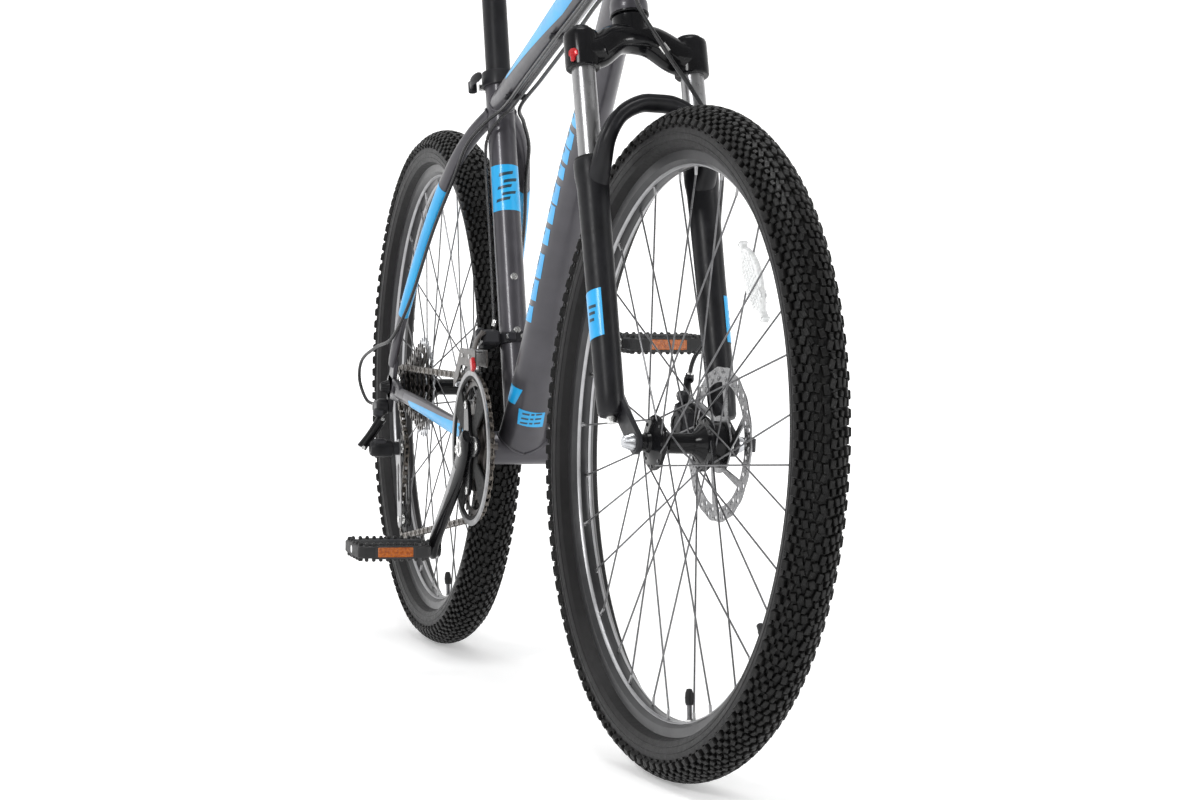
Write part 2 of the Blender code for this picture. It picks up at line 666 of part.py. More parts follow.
def saddle_rails():
    """The clamp on the post's head and both rails."""
    pivot = SADDLE_PIVOT
    cradle = block("saddle_rails", (0.040, 0.034, 0.010), pivot + Z * 0.0195, "steel")
    upper = block("upper", (0.040, 0.052, 0.010), Vector((pivot.x, 0, RAIL_Z)), "steel")
    added = [upper]
    for side in (-1, 1):
        path = [(-0.105, 0.044, 0.017), (-0.075, 0.036, 0.000), (0.045, 0.022, 0.000), (0.085, 0.018, 0.006),
                (0.125, 0.014, 0.023)]
        points = [Vector((pivot.x + a, side * y, RAIL_Z + h)) for a, y, h in path]
        added.append(tube("rail", points, [0.0035] * len(path), "steel", 8, Y))
    obj = unite(cradle, *added)
    set_origin(obj, pivot)
    return obj


def saddle():
    """Padded saddle on its shell, as a closed form of the right size."""
    sections = [(-0.125, 0.052, 0.016, 0.046), (-0.110, 0.068, 0.020, 0.046), (-0.070, 0.072, 0.024, 0.044),
                (-0.020, 0.055, 0.024, 0.042), (0.040, 0.030, 0.020, 0.042), (0.110, 0.021, 0.016, 0.046),
                (0.145, 0.018, 0.011, 0.047), (0.150, 0.010, 0.006, 0.047)]
    rings = []
    for along, half, high, middle in sections:
        ring = []
        for k in range(12):
            angle = 2 * pi * (k + 0.5) / 12
            ring.append(Vector((SADDLE_PIVOT.x + along, half * cos(angle),
                                RAIL_Z + middle + 0.002 + high * sin(angle))))
        rings.append(ring)
    bm = bmesh.new()
    add_loft(bm, rings)
    obj = finish(bm, "saddle", "rubber")
    set_origin(obj, SADDLE_PIVOT)
    return obj


# Drivetrain


def crank_end(side):
    angle = CRANK_ANGLE if side < 0 else CRANK_ANGLE + pi
    return BB + Vector((cos(angle), 0, sin(angle))) * CRANK


def spider_outline(steps=40):
    """Four arms round the bottom bracket, midway between the crank's own direction."""
    outline = []
    for k in range(steps):
        angle = 2 * pi * k / steps
        radius = 0.024 + 0.034 * abs(sin(2 * angle)) ** 4
        heading = CRANK_ANGLE + angle
        outline.append((BB.x + radius * cos(heading), BB.z + radius * sin(heading)))
    return outline


def crank_arm(name, side):
    """One crank arm with its pedal spindle. The right one also has the spider and the axle."""
    end = crank_end(side)
    along = (end - BB).normalized()
    root_y, end_y = 0.0700, 0.0820
    route = ((-0.018, root_y), (0.03, root_y), (0.10, 0.0760), (CRANK - 0.02, end_y), (CRANK + 0.012, end_y))
    points = [BB + along * t + Y * (side * y) for t, y in route]
    radii = [(0.0062, 0.015), (0.0062, 0.016), (0.006, 0.0125), (0.006, 0.0125), (0.006, 0.010)]
    obj = tube(name, points, radii, "black_gloss", 8, Y)
    spindle = rod("spindle", end + Y * (side * 0.080), end + Y * (side * 0.186), 0.0048, "steel", 10)
    added = [spindle]
    if side < 0:
        added.append(rod("axle", BB - Y * 0.068, BB + Y * 0.0640, 0.0085, "steel", 12))
        added.append(plate("spider", spider_outline(), -0.0672, -0.0630, "black_gloss"))
    obj = unite(obj, *added)
    set_origin(obj, BB)
    return obj


def chainrings():
    """Three rings and the guard, bolted together round the spider."""
    outer = pitch_radius(42) - 0.0012
    middle = pitch_radius(32)
    inner = pitch_radius(22)
    web, bore = 0.0405, 0.0345
    profile = [(bore, -0.0626), (0.0940, -0.0626), (0.0940, -0.0608), (web, -0.0608), (web, RING_Y - 0.001),
               (outer, RING_Y - 0.001), (outer, RING_Y + 0.001), (web, RING_Y + 0.001), (web, -0.0505),
               (middle, -0.0505), (middle, -0.0485), (web, -0.0485), (web, -0.0438), (inner, -0.0438),
               (inner, -0.0420), (bore, -0.0420)]
    obj = turned("chainrings", profile, BB.copy(), Y, "steel", 28)
    set_origin(obj, BB)
    return obj


def cog_y(number):
    return COG_FIRST_Y + COG_STEP * number


def cassette():
    """Eight cogs on their carrier, stepped from the smallest outside to the largest inside."""
    profile = [(0.0105, cog_y(0) - 0.001)]
    for number, teeth in enumerate(COG_TEETH):
        radius = pitch_radius(teeth) - 0.0012
        inner_face = cog_y(number + 1) - 0.0013 if number < 7 else cog_y(number) + 0.001
        profile += [(radius, cog_y(number) - 0.001), (radius, inner_face)]
    profile.append((0.0135, cog_y(7) + 0.001))
    obj = turned("cassette", profile, REAR_AXLE, Y, "steel", 18)
    set_origin(obj, REAR_AXLE)
    return obj


def belt_path(circles, step):
    """The taut loop round circles (x, z, radius, sense), with sense 1 where it turns like the wheels."""
    runs = []
    for k, first in enumerate(circles):
        second = circles[(k + 1) % len(circles)]
        dx, dz = second[0] - first[0], second[1] - first[1]
        heading = atan2(dz, dx)
        lean = acos((first[2] * first[3] - second[2] * second[3]) / hypot(dx, dz))
        runs.append((heading + lean, heading + lean))
    points = []
    for k, circle in enumerate(circles):
        x, z, radius, sense = circle
        start = runs[k - 1][1]
        end = runs[k][0]
        turn = (start - end) % (2 * pi) if sense > 0 else -((end - start) % (2 * pi))
        count = max(2, ceil(abs(turn) / step))
        for i in range(count + 1):
            angle = start - turn * i / count
            points.append((x + sense * radius * cos(angle), z + sense * radius * sin(angle)))
    return points


def chain_circles(extra=0.0):
    """Chainring, tension pulley, guide pulley and cog, in the order the chain runs under power."""
    pulley = pitch_radius(PULLEY_TEETH) + extra
    return [
        (BB.x, BB.z, pitch_radius(RING_TEETH) + extra, 1),
        (TENSION[0], TENSION[1], pulley, 1),
        (GUIDE[0], GUIDE[1], pulley, -1),
        (REAR_AXLE.x, REAR_AXLE.z, pitch_radius(COG_TEETH[CHAIN_COG]) + extra, 1),
    ]


def chain():
    """The chain as a band that lies just outside the teeth."""
    path = belt_path(chain_circles(0.0017), radians(24))
    rings = []
    count = len(path)
    for i, (x, z) in enumerate(path):
        before, after = path[i - 1], path[(i + 1) % count]
        along = Vector((after[0] - before[0], 0, after[1] - before[1])).normalized()
        out = along.cross(Y)
        middle = Vector((x, RING_Y + (x - BB.x) / (REAR_AXLE.x - BB.x) * (cog_y(CHAIN_COG) - RING_Y), z))
        rings.append([middle + out * (a * 0.0013) + Y * (b * 0.0032) for a, b in
                      ((-1, -1), (1, -1), (1, 1), (-1, 1))])
    bm = bmesh.new()
    add_loft(bm, rings, closed=True)
    return finish(bm, "chain", "chain")


def pulley(name, centre):
    radius = pitch_radius(PULLEY_TEETH) - 0.0012
    y = cog_y(CHAIN_COG)
    middle = Vector((centre[0], y, centre[1]))
    profile = [(0.0030, -0.0022), (0.0090, -0.0022), (radius, -0.0009), (radius, 0.0009), (0.0090, 0.0022),
               (0.0030, 0.0022)]
    obj = turned(name, profile, middle, Y, "plastic", 16)
    set_origin(obj, middle)
    return obj


def derailleur_body():
    """The upper knuckle on the hanger bolt, with the lobe that stops the cable."""
    obj = rod("rear_derailleur_body", RD_TOP.copy(), RD_TOP - Y * 0.0145, 0.0105, "black_satin", 12)
    lobe = block("lobe", (0.018, 0.009, 0.012), RD_TOP + Vector((-0.013, -0.008, 0.001)), "black_satin")
    return unite(obj, lobe)


def derailleur_link():
    """Both parallel links as one piece that swings about X."""
    points = [RD_LINK_TOP, RD_LINK_TOP.lerp(RD_LINK_FOOT, 0.5), RD_LINK_FOOT]
    obj = tube("rear_derailleur_link", points, [(0.0045, 0.004), (0.0040, 0.003), (0.0045, 0.004)],
               "black_satin", 8, X)
    set_origin(obj, RD_LINK_TOP)
    return obj


def derailleur_knuckle():
    """The lower knuckle, which the parallel links keep level."""
    guide = Vector((GUIDE[0], 0, GUIDE[1]))
    obj = rod("rear_derailleur_knuckle", guide - Y * 0.0712, guide - Y * 0.1010, 0.0115, "black_satin", 12)
    set_origin(obj, RD_LINK_FOOT)
    return obj


def derailleur_cage():
    """Two cage plates joined by the pulley bolts, with the pivot hub outside."""
    y = cog_y(CHAIN_COG)
    outer = capsule(GUIDE, TENSION, 0.0125, 0.0115)
    inner = capsule(GUIDE, TENSION, 0.0115, 0.0110)
    obj = plate("rear_derailleur_cage", outer, y - 0.0072, y - 0.0054, "black_satin")
    added = [plate("inner", inner, y + 0.0054, y + 0.0072, "black_satin")]
    for centre in (GUIDE, TENSION):
        middle = Vector((centre[0], y, centre[1]))
        added.append(rod("bolt", middle - Y * 0.0065, middle + Y * 0.0065, 0.0025, "steel", 8))
    guide = Vector((GUIDE[0], 0, GUIDE[1]))
    added.append(rod("pivot", guide - Y * 0.0620, guide - Y * 0.0705, 0.0090, "black_satin", 12))
    obj = unite(obj, *added)
    set_origin(obj, guide + Y * y)
    return obj


def front_derailleur_clamp():
    profile = [(SEAT_TUBE_R + GAP, 0.128), (0.0205, 0.128), (0.0205, 0.142), (SEAT_TUBE_R + GAP, 0.142)]
    obj = turned("front_derailleur_clamp", profile, BB.copy(), SEAT_AXIS, "black_satin", 20)
    lug = seat_point(0.135, 0.0, -0.024)
    body = block("body", (0.030, 0.014, 0.022), lug, "black_satin", (SEAT_AHEAD, Y, SEAT_AXIS))
    return cut(unite(obj, body), seat_cutter())


def front_derailleur_cage():
    """Two cage plates joined over the top, with the arm up to its pivot."""
    side_view = [(-0.086, 0.391), (-0.088, 0.412), (-0.165, 0.412), (-0.200, 0.372), (-0.198, 0.362),
                 (-0.176, 0.374), (-0.160, 0.391)]
    outer = plate("front_derailleur_cage", side_view, -0.0650, -0.0632, "steel")
    inner = plate("inner", side_view, -0.0508, -0.0492, "steel")
    bridge = block("bridge", (0.050, 0.0155, 0.003), Vector((-0.128, -0.0571, 0.4100)), "steel")
    route = [FD_PIVOT + Vector((0, y, z)) for y, z in ((-0.018, -0.024), (-0.014, -0.010), (-0.006, 0))]
    arm = tube("arm", route, [(0.010, 0.0022), (0.009, 0.0025), (0.008, 0.004)], "steel", 8, X)
    obj = unite(outer, inner, bridge, arm)
    set_origin(obj, FD_PIVOT)
    return obj


def pedal(name, side):
    """A cage pedal with a bored barrel that turns on the crank's spindle."""
    end = crank_end(side)
    middle = end + Y * (side * 0.140)
    obj = block(name, (0.094, 0.092, 0.024), middle, "plastic")
    windows = [block("window", (0.022, 0.068, 0.05), middle + X * (k * 0.0245), "plastic") for k in (-1, 1)]
    bore = rod("bore", middle - Y * 0.06, middle + Y * 0.06, 0.0053, "plastic", 12)
    obj = cut(obj, *windows, bore)
    set_origin(obj, middle)
    return obj


# Cables


def smooth_route(points, per_span=5):
    """Points on a Catmull-Rom curve through the route."""
    out = []
    last = len(points) - 1
    for i in range(last):
        a, b = points[max(i - 1, 0)], points[i]
        c, d = points[i + 1], points[min(i + 2, last)]
        for k in range(per_span):
            t = k / per_span
            out.append(0.5 * ((2 * b) + (c - a) * t + (2 * a - 5 * b + 4 * c - d) * t * t
                              + (3 * b - a - 3 * c + d) * t**3))
    out.append(points[-1])
    return out


def cable(name, route, radius=0.0024):
    points = smooth_route([Vector(point) for point in route], 3)
    curve = bpy.data.curves.new(name, "CURVE")
    curve.dimensions = "3D"
    curve.bevel_depth = radius
    curve.bevel_resolution = 1
    curve.use_fill_caps = True
    spline = curve.splines.new("POLY")
    spline.points.add(len(points) - 1)
    for slot, point in zip(spline.points, points):
        slot.co = (*point, 1)
    add_material(curve, name, "plastic")
    obj = bpy.data.objects.new(name, curve)
    bpy.context.scene.collection.objects.link(obj)
    return obj


def steered(s, d, y):
    """A point given in the fork's own frame, where the turned front end puts it."""
    return TURN @ fork_point(s, d, y)


def pod_exit(side, ahead_by, down_by):
    outward, ahead, down = bar_axes(side)
    return TURN @ (bar_point(side, 0.058) + ahead * ahead_by + down * down_by)


TOP_TUBE_RUN = ((0.200, 0.8225), (0.060, 0.7800), (-0.080, 0.7380), (-0.180, 0.7080))


def under_top_tube(y):
    return [Vector((x, y, z)) for x, z in TOP_TUBE_RUN]


def rear_brake_cable():
    route = [pod_exit(-1, 0.028, 0.0), steered(0.640, 0.150, -0.110), steered(0.590, 0.120, -0.035),
             steered(0.560, 0.060, 0.010), (0.318, 0.031, 0.868), (0.275, 0.030, 0.842), *under_top_tube(0.010),
             (-0.215, 0.024, 0.690), (-0.250, 0.040, 0.662), (-0.289, 0.047, 0.6205), (-0.348, 0.060, 0.5520),
             (-0.428, 0.069, 0.4570), (-0.441, 0.0665, 0.4250)]
    return cable("rear_brake_cable", route)


def rear_shift_cable():
    route = [pod_exit(-1, 0.006, 0.022), steered(0.600, 0.125, -0.100), steered(0.560, 0.090, -0.050),
             (0.325, -0.034, 0.856), (0.275, -0.031, 0.840), *under_top_tube(-0.010),
             (-0.215, -0.024, 0.690), (-0.250, -0.040, 0.662), (-0.289, -0.047, 0.6205),
             (-0.348, -0.060, 0.5520), (-0.420, -0.071, 0.4660), (-0.470, -0.084, 0.4130),
             (-0.530, -0.094, 0.3970), (-0.585, -0.1010, 0.3780), (-0.606, -0.1000, 0.3500),
             (-0.595, -0.0920, 0.3230), (-0.5705, -0.0830, 0.3185)]
    return cable("rear_shift_cable", route, 0.0022)


def front_shift_cable():
    route = [pod_exit(1, 0.006, 0.022), steered(0.600, 0.120, 0.100), steered(0.555, 0.080, 0.045),
             (0.322, 0.026, 0.850), (0.275, 0.016, 0.8350), *under_top_tube(0.0),
             (-0.200, -0.010, 0.694), (-0.215, -0.0215, 0.672), (-0.2165, -0.0235, 0.640),
             (-0.1930, -0.0225, 0.5500), (-0.1640, -0.0235, 0.4560), (-0.1605, -0.0245, 0.4390)]
    return cable("front_shift_cable", route, 0.0020)


def front_brake_cable():
    route = [pod_exit(1, 0.028, 0.0), steered(0.650, 0.150, 0.115), steered(0.608, 0.132, 0.042),
             steered(0.555, 0.088, 0.000), steered(0.500, 0.046, -0.012), steered(0.440, 0.033, 0.023),
             steered(0.400, 0.030, 0.050), steered(0.360, 0.026, 0.073), steered(0.320, 0.012, 0.0870), steered(0.260, -0.010, 0.0870),
             steered(0.160, -0.020, 0.0780), steered(0.118, -0.036, 0.0560), steered(0.098, -0.046, 0.0530)]
    return cable("front_brake_cable", route)


def rear_parts():
    """Everything that keeps its place when the bars turn, apart from the drivetrain."""
    parts = [head_tube(), top_tube(), down_tube(), seat_tube(), seat_clamp(), seatpost(), saddle_rails(),
             saddle()]
    for side, word in ((1, "left"), (-1, "right")):
        parts += [chainstay("chainstay_" + word, side), seatstay("seatstay_" + word, side)]
    parts += [tyre("rear_tyre", REAR_AXLE), rim("rear_rim", REAR_AXLE),
              spokes("rear_spokes", REAR_AXLE, REAR_FLANGES),
              hub("rear_hub", REAR_AXLE, REAR_HUB, REAR_FLANGES, ROTOR_REAR_Y),
              skewer("rear_skewer", REAR_AXLE, REAR_HUB)]
    parts += [caliper("rear_caliper", REAR_AXLE, REAR_CALIPER_WAY, ROTOR_REAR_Y, 0.0370, 0.0600),
              caliper_arm("rear_caliper_arm", REAR_ARM_PIVOT, Vector((0.450, 0, 0.893)), 1),
              quick_lever("rear_quick_lever", REAR_QUICK_PIVOT, REAR_QUICK_WAY, Y, 0.055),
              quick_lever("seat_quick_lever", SEAT_QUICK_PIVOT, SEAT_AHEAD, -Y, 0.045)]
    return parts


def drivetrain_parts():
    parts = [chainrings(), cassette(), chain(), derailleur_body(), derailleur_link(), derailleur_knuckle(),
             derailleur_cage(), pulley("guide_pulley", GUIDE), pulley("tension_pulley", TENSION),
             front_derailleur_clamp(), front_derailleur_cage()]
    for side, word in ((1, "left"), (-1, "right")):
        parts += [crank_arm("crank_arm_" + word, side), pedal("pedal_" + word, side)]
    return parts


def front_parts():
    """Everything that turns with the bars, modelled straight ahead."""
    parts = [fork_crown(), fork_lowers(), stem(), handlebar()]
    for side, word in ((1, "left"), (-1, "right")):
        parts += [grip("grip_" + word, side), control_pod("control_pod_" + word, side),
                  brake_lever("brake_lever_" + word, side), thumb_lever("thumb_lever_" + word, side)]
    parts += [tyre("front_tyre", FRONT_AXLE), rim("front_rim", FRONT_AXLE),
              spokes("front_spokes", FRONT_AXLE, FRONT_FLANGES),
              hub("front_hub", FRONT_AXLE, FORK_HUB, FRONT_FLANGES, ROTOR_FRONT_Y),
              skewer("front_skewer", FRONT_AXLE, FORK_HUB)]
    arm_way = (HEAD_AXIS * 0.9 - HEAD_AHEAD * 0.44).normalized()
    parts += [caliper("front_caliper", FRONT_AXLE, FRONT_CALIPER_WAY, ROTOR_FRONT_Y, 0.0235, 0.0466),
              caliper_arm("front_caliper_arm", FRONT_ARM_PIVOT, arm_way, 1),
              quick_lever("front_quick_lever", FRONT_QUICK_PIVOT, FRONT_QUICK_WAY, Y, 0.055)]
    return parts


def build():
    clear_scene()
    front = front_parts()
    still = rear_parts() + drivetrain_parts()
    cables = [rear_brake_cable(), rear_shift_cable(), front_shift_cable(), front_brake_cable()]
    for obj in front:
        obj.matrix_world = TURN @ Matrix.Translation(obj.location)
    for obj in front + still + cables:
        obj.matrix_world = Matrix.Translation(ORIGIN_SHIFT) @ obj.matrix_basis


build()
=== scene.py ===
"""The looks of the mountain bike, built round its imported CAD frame.

Metres, +X forward, +Y to the rider's left, +Z up. Places come from the frame's joints and from the driving
dimensions, which are the CAD part's. What turns with the bars is modelled straight ahead and then turned.
"""

import json
from math import acos, atan2, ceil, cos, hypot, pi, radians, sin

import bmesh
import bpy
from mathutils import Matrix, Vector


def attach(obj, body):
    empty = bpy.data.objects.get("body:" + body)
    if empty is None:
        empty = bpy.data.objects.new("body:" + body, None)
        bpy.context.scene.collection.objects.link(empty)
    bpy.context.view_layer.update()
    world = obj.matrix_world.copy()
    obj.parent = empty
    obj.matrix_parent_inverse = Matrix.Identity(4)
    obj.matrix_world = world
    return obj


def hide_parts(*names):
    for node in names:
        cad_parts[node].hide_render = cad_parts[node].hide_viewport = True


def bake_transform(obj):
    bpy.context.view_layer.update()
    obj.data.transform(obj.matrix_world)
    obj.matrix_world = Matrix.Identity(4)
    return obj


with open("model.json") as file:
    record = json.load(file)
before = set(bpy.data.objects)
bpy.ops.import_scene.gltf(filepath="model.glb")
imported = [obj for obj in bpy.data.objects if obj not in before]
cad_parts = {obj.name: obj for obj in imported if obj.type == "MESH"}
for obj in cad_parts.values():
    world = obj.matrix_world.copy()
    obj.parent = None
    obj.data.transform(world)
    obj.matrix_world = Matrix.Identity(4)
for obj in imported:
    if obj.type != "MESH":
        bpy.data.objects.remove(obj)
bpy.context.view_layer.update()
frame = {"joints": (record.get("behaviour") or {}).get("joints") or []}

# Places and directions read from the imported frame
AT = {joint["name"]: Vector(joint["pos_m"]) for joint in frame["joints"] if "pos_m" in joint}
ALONG = {joint["name"]: Vector(joint["axis"]) for joint in frame["joints"]}
X = Vector((1, 0, 0))
Y = Vector((0, 1, 0))
Z = Vector((0, 0, 1))
REAR_AXLE = AT["rear_wheel_spin"]
FRONT_AXLE = AT["front_wheel_spin"]
BB = AT["crank_spin"]
HEAD_FOOT = AT["steering"]
HEAD_AXIS = ALONG["steering"]
STEER_SIDE = ALONG["front_wheel_spin"]
STEER_AHEAD = STEER_SIDE.cross(HEAD_AXIS)
HEAD_AHEAD = Y.cross(HEAD_AXIS)
SEAT_AXIS = ALONG["seatpost_height"]
SEAT_AHEAD = Y.cross(SEAT_AXIS)

# Driving dimensions, as in the CAD part
WHEELBASE = 1.073
TYRE_R = 0.344
RIM_IN = 0.2825
BEAD_R = 0.2978
FORK_OFFSET = 0.047
FORK_HUB = 0.050
REAR_HUB = 0.0675
LEG_Y = 0.0625
LEG_D = 0.010
HEAD_LOW = 0.495
HEAD_TOP = 0.610
SEAT_TUBE_TOP = 0.479
SEAT_TUBE_R = 0.01745
HEAD_TUBE_R = 0.0190
SHELL_R = 0.0203
DROPOUT_IN = 0.0004
DROPOUT_OUT = 0.0064
POST_R = 0.0154
ROTOR_R = 0.080
ROTOR_FRONT_Y = 0.0389
ROTOR_REAR_Y = 0.0525
FRONT_FLANGES = (0.021, -0.033)
REAR_FLANGES = (0.034, -0.0185)
FLANGE_R = 0.0245
SPOKES = 32
AXLE_HOLE_R = 0.0047
SIDES = (("left", 1), ("right", -1))
SHIFT = REAR_AXLE - Vector((-WHEELBASE / 2, 0, TYRE_R))
STRAIGHT_AXLE = HEAD_FOOT + HEAD_AHEAD * FORK_OFFSET
STEER = radians(5.8)
TURN = Matrix.Translation(HEAD_FOOT) @ Matrix.Rotation(STEER, 4, HEAD_AXIS) @ Matrix.Translation(-HEAD_FOOT)


def spot(x, y, z):
    """A point in part coordinates, moved with the origin."""
    return Vector((x, y, z)) + SHIFT


def fork_point(s, d=0.0, y=0.0):
    """A point s up the steering axis, d ahead and y to the left of it, turned with the bars."""
    return HEAD_FOOT + HEAD_AXIS * s + STEER_AHEAD * d + STEER_SIDE * y


def head_point(s, d=0.0, y=0.0):
    """The same as fork_point, on the frame, which doesn't turn."""
    return HEAD_FOOT + HEAD_AXIS * s + HEAD_AHEAD * d + Y * y


def seat_point(s, d=0.0, y=0.0):
    """The same up the seat tube, from the bottom bracket."""
    return BB + SEAT_AXIS * s + SEAT_AHEAD * d + Y * y


# Materials


def node(tree, kind, **values):
    """A new node. Each value goes to the input of that name, or else to the property."""
    made = tree.nodes.new(kind)
    for key, value in values.items():
        if key in made.inputs:
            made.inputs[key].default_value = value
        else:
            setattr(made, key, value)
    return made


def noise(tree, scale, detail=3.0, stretch=(1, 1, 1)):
    """A noise texture in object space, optionally stretched along an axis."""
    place = node(tree, "ShaderNodeTexCoord")
    squeeze = node(tree, "ShaderNodeMapping", Scale=stretch)
    made = node(tree, "ShaderNodeTexNoise", Scale=scale, Detail=detail)
    tree.links.new(place.outputs["Object"], squeeze.inputs["Vector"])
    tree.links.new(squeeze.outputs["Vector"], made.inputs["Vector"])
    return made.outputs["Fac"]


def spread(tree, source, low, high, start=0.3, end=0.7):
    """Maps the source's span from start to end onto low to high."""
    ranged = node(tree, "ShaderNodeMapRange")
    for key, value in (("From Min", start), ("From Max", end), ("To Min", low), ("To Max", high)):
        ranged.inputs[key].default_value = value
    tree.links.new(source, ranged.inputs["Value"])
    return ranged.outputs["Result"]


def blend_colour(tree, factor, low, high):
    """Mixes two colours by a factor. The first may be another node's output."""
    mix = node(tree, "ShaderNodeMix", data_type="RGBA")
    first, second = [socket for socket in mix.inputs if socket.type == "RGBA"]
    if isinstance(low, tuple):
        first.default_value = (*low, 1)
    else:
        tree.links.new(low, first)
    second.default_value = (*high, 1)
    tree.links.new(factor, mix.inputs["Factor"])
    return [socket for socket in mix.outputs if socket.type == "RGBA"][0]


def material(name, low, high, rough, metal=0.0, grain=60, bump=0.0, bump_scale=900, stretch=(1, 1, 1),
             wear=None, **sockets):
    """A Principled surface whose colour and roughness wander between two values, with a fine bump."""
    made = bpy.data.materials.new(name)
    made.use_nodes = True
    tree = made.node_tree
    shader = tree.nodes["Principled BSDF"]
    shader.inputs["Metallic"].default_value = metal
    for key, value in sockets.items():
        shader.inputs[key.replace("_", " ")].default_value = value
    wander = noise(tree, grain, 4.0, stretch)
    colour = blend_colour(tree, spread(tree, wander, 0, 1), low, high)
    if wear:
        edges = node(tree, "ShaderNodeNewGeometry").outputs["Pointiness"]
        colour = blend_colour(tree, spread(tree, edges, 0, 0.8, 0.53, 0.62), colour, wear)
    tree.links.new(colour, shader.inputs["Base Color"])
    rubbed = spread(tree, noise(tree, grain * 4, 3.0, stretch), rough[0], rough[1])
    tree.links.new(rubbed, shader.inputs["Roughness"])
    if bump:
        dent = node(tree, "ShaderNodeBump", Strength=bump, Distance=0.0004)
        tree.links.new(noise(tree, bump_scale, 2.0, stretch), dent.inputs["Height"])
        tree.links.new(dent.outputs["Normal"], shader.inputs["Normal"])
    return made


LACQUER = {"Coat_Weight": 0.35, "Coat_Roughness": 0.10}
PAINT = material("charcoal_paint", (0.044, 0.042, 0.049), (0.062, 0.059, 0.068), (0.34, 0.44), 0.45, 30,
                 0.06, 5000, **LACQUER)
GLOSS = material("gloss_black", (0.004, 0.004, 0.0045), (0.008, 0.008, 0.009), (0.12, 0.22), 0.0, 25,
                 0.0, 300, Specular_IOR_Level=0.14, Coat_Weight=0.12, Coat_Roughness=0.05)
SATIN = material("satin_black", (0.006, 0.006, 0.007), (0.011, 0.011, 0.013), (0.32, 0.44), 0.0, 40,
                 0.05, 2500, wear=(0.030, 0.030, 0.034), Specular_IOR_Level=0.22)
CAST = material("cast_black", (0.004, 0.004, 0.0045), (0.008, 0.008, 0.009), (0.28, 0.42), 0.0, 60,
                0.12, 1800, wear=(0.040, 0.040, 0.044), Specular_IOR_Level=0.16)
CHROME = material("stanchion_chrome", (0.30, 0.30, 0.305), (0.38, 0.38, 0.385), (0.26, 0.34), 1.0, 12,
                  0.05, 1800, (6, 6, 0.3))
SILVER = material("polished_aluminium", (0.46, 0.47, 0.49), (0.60, 0.61, 0.63), (0.24, 0.36), 1.0, 80,
                  0.03, 2500)
STEEL = material("spoke_steel", (0.115, 0.115, 0.12), (0.17, 0.17, 0.175), (0.26, 0.38), 1.0, 150)
NIPPLE = material("nipple_brass_plated", (0.26, 0.26, 0.265), (0.36, 0.36, 0.365), (0.30, 0.42), 1.0, 150)
NICKEL = material("nickel_plate", (0.62, 0.62, 0.61), (0.76, 0.76, 0.75), (0.18, 0.28), 1.0, 100)
ROTOR = material("rotor_steel", (0.20, 0.20, 0.205), (0.33, 0.33, 0.335), (0.24, 0.36), 1.0, 300, 0.08, 1500)
CHAIN = material("chain_steel", (0.055, 0.048, 0.042), (0.21, 0.19, 0.17), (0.30, 0.46), 1.0, 180, 0.08, 1500)
COG = material("cog_steel", (0.055, 0.050, 0.046), (0.13, 0.12, 0.115), (0.28, 0.42), 1.0, 120, 0.06, 1500)
GUARD = material("brushed_grey", (0.22, 0.22, 0.225), (0.34, 0.34, 0.345), (0.30, 0.42), 1.0, 90, 0.05, 2500)
RIM = material("rim_anodised", (0.030, 0.030, 0.032), (0.046, 0.046, 0.048), (0.28, 0.36), 0.55, 40,
               0.03, 2500)
# A light grey on the rim's inner corners: a painted highlight
RIM_EDGE = material("rim_edge_painted_highlight", (0.34, 0.34, 0.35), (0.44, 0.44, 0.45), (0.32, 0.42), 0.9, 60)
TREAD = material("tread_rubber", (0.0020, 0.0020, 0.0020), (0.0085, 0.0082, 0.0080), (0.34, 0.66), 0.0, 110,
                 0.55, 900, Specular_IOR_Level=0.20)
SIDEWALL = material("sidewall_rubber", (0.006, 0.0056, 0.006), (0.010, 0.0095, 0.010), (0.42, 0.54), 0.0, 50,
                    0.15, 2200, Specular_IOR_Level=0.22)
RUBBER = material("soft_rubber", (0.008, 0.008, 0.008), (0.015, 0.015, 0.015), (0.60, 0.78), 0.0, 70,
                  0.2, 1500, Specular_IOR_Level=0.25)
PLASTIC = material("moulded_plastic", (0.008, 0.008, 0.009), (0.016, 0.016, 0.017), (0.42, 0.58), 0.0, 60,
                   0.15, 1200, wear=(0.035, 0.035, 0.035), Specular_IOR_Level=0.22)
JACKET = material("cable_jacket", (0.006, 0.006, 0.007), (0.012, 0.012, 0.013), (0.24, 0.34), 0.0, 40,
                  0.05, 900)
CYAN = material("cyan_decal", (0.006, 0.31, 0.66), (0.010, 0.38, 0.74), (0.34, 0.44), 0.0, 20,
                **LACQUER)
MARK = material("dark_mark", (0.006, 0.030, 0.050), (0.010, 0.042, 0.066), (0.34, 0.44), 0.0, 20,
                **LACQUER)
# Grey print for the seatpost's height marks, also used as a painted highlight along the right chainstay's top
GREY = material("grey_print_and_painted_highlight", (0.095, 0.092, 0.104), (0.130, 0.127, 0.142), (0.34, 0.44), 0.3, 20,
                **LACQUER)
AMBER = material("amber_reflector", (0.24, 0.050, 0.002), (0.46, 0.115, 0.006), (0.12, 0.22), 0.0, 300,
                 0.5, 700, Coat_Weight=0.6)
PEARL = material("clear_reflector", (0.62, 0.63, 0.63), (0.80, 0.81, 0.81), (0.12, 0.24), 0.0, 400,
                 0.5, 700, Coat_Weight=0.6)
RED = material("red_anodised", (0.40, 0.010, 0.014), (0.52, 0.018, 0.022), (0.24, 0.36), 0.3, 60,
               Coat_Weight=0.4)
VINYL = material("saddle_vinyl", (0.008, 0.008, 0.009), (0.015, 0.015, 0.016), (0.44, 0.58), 0.0, 45,
                 0.45, 650)
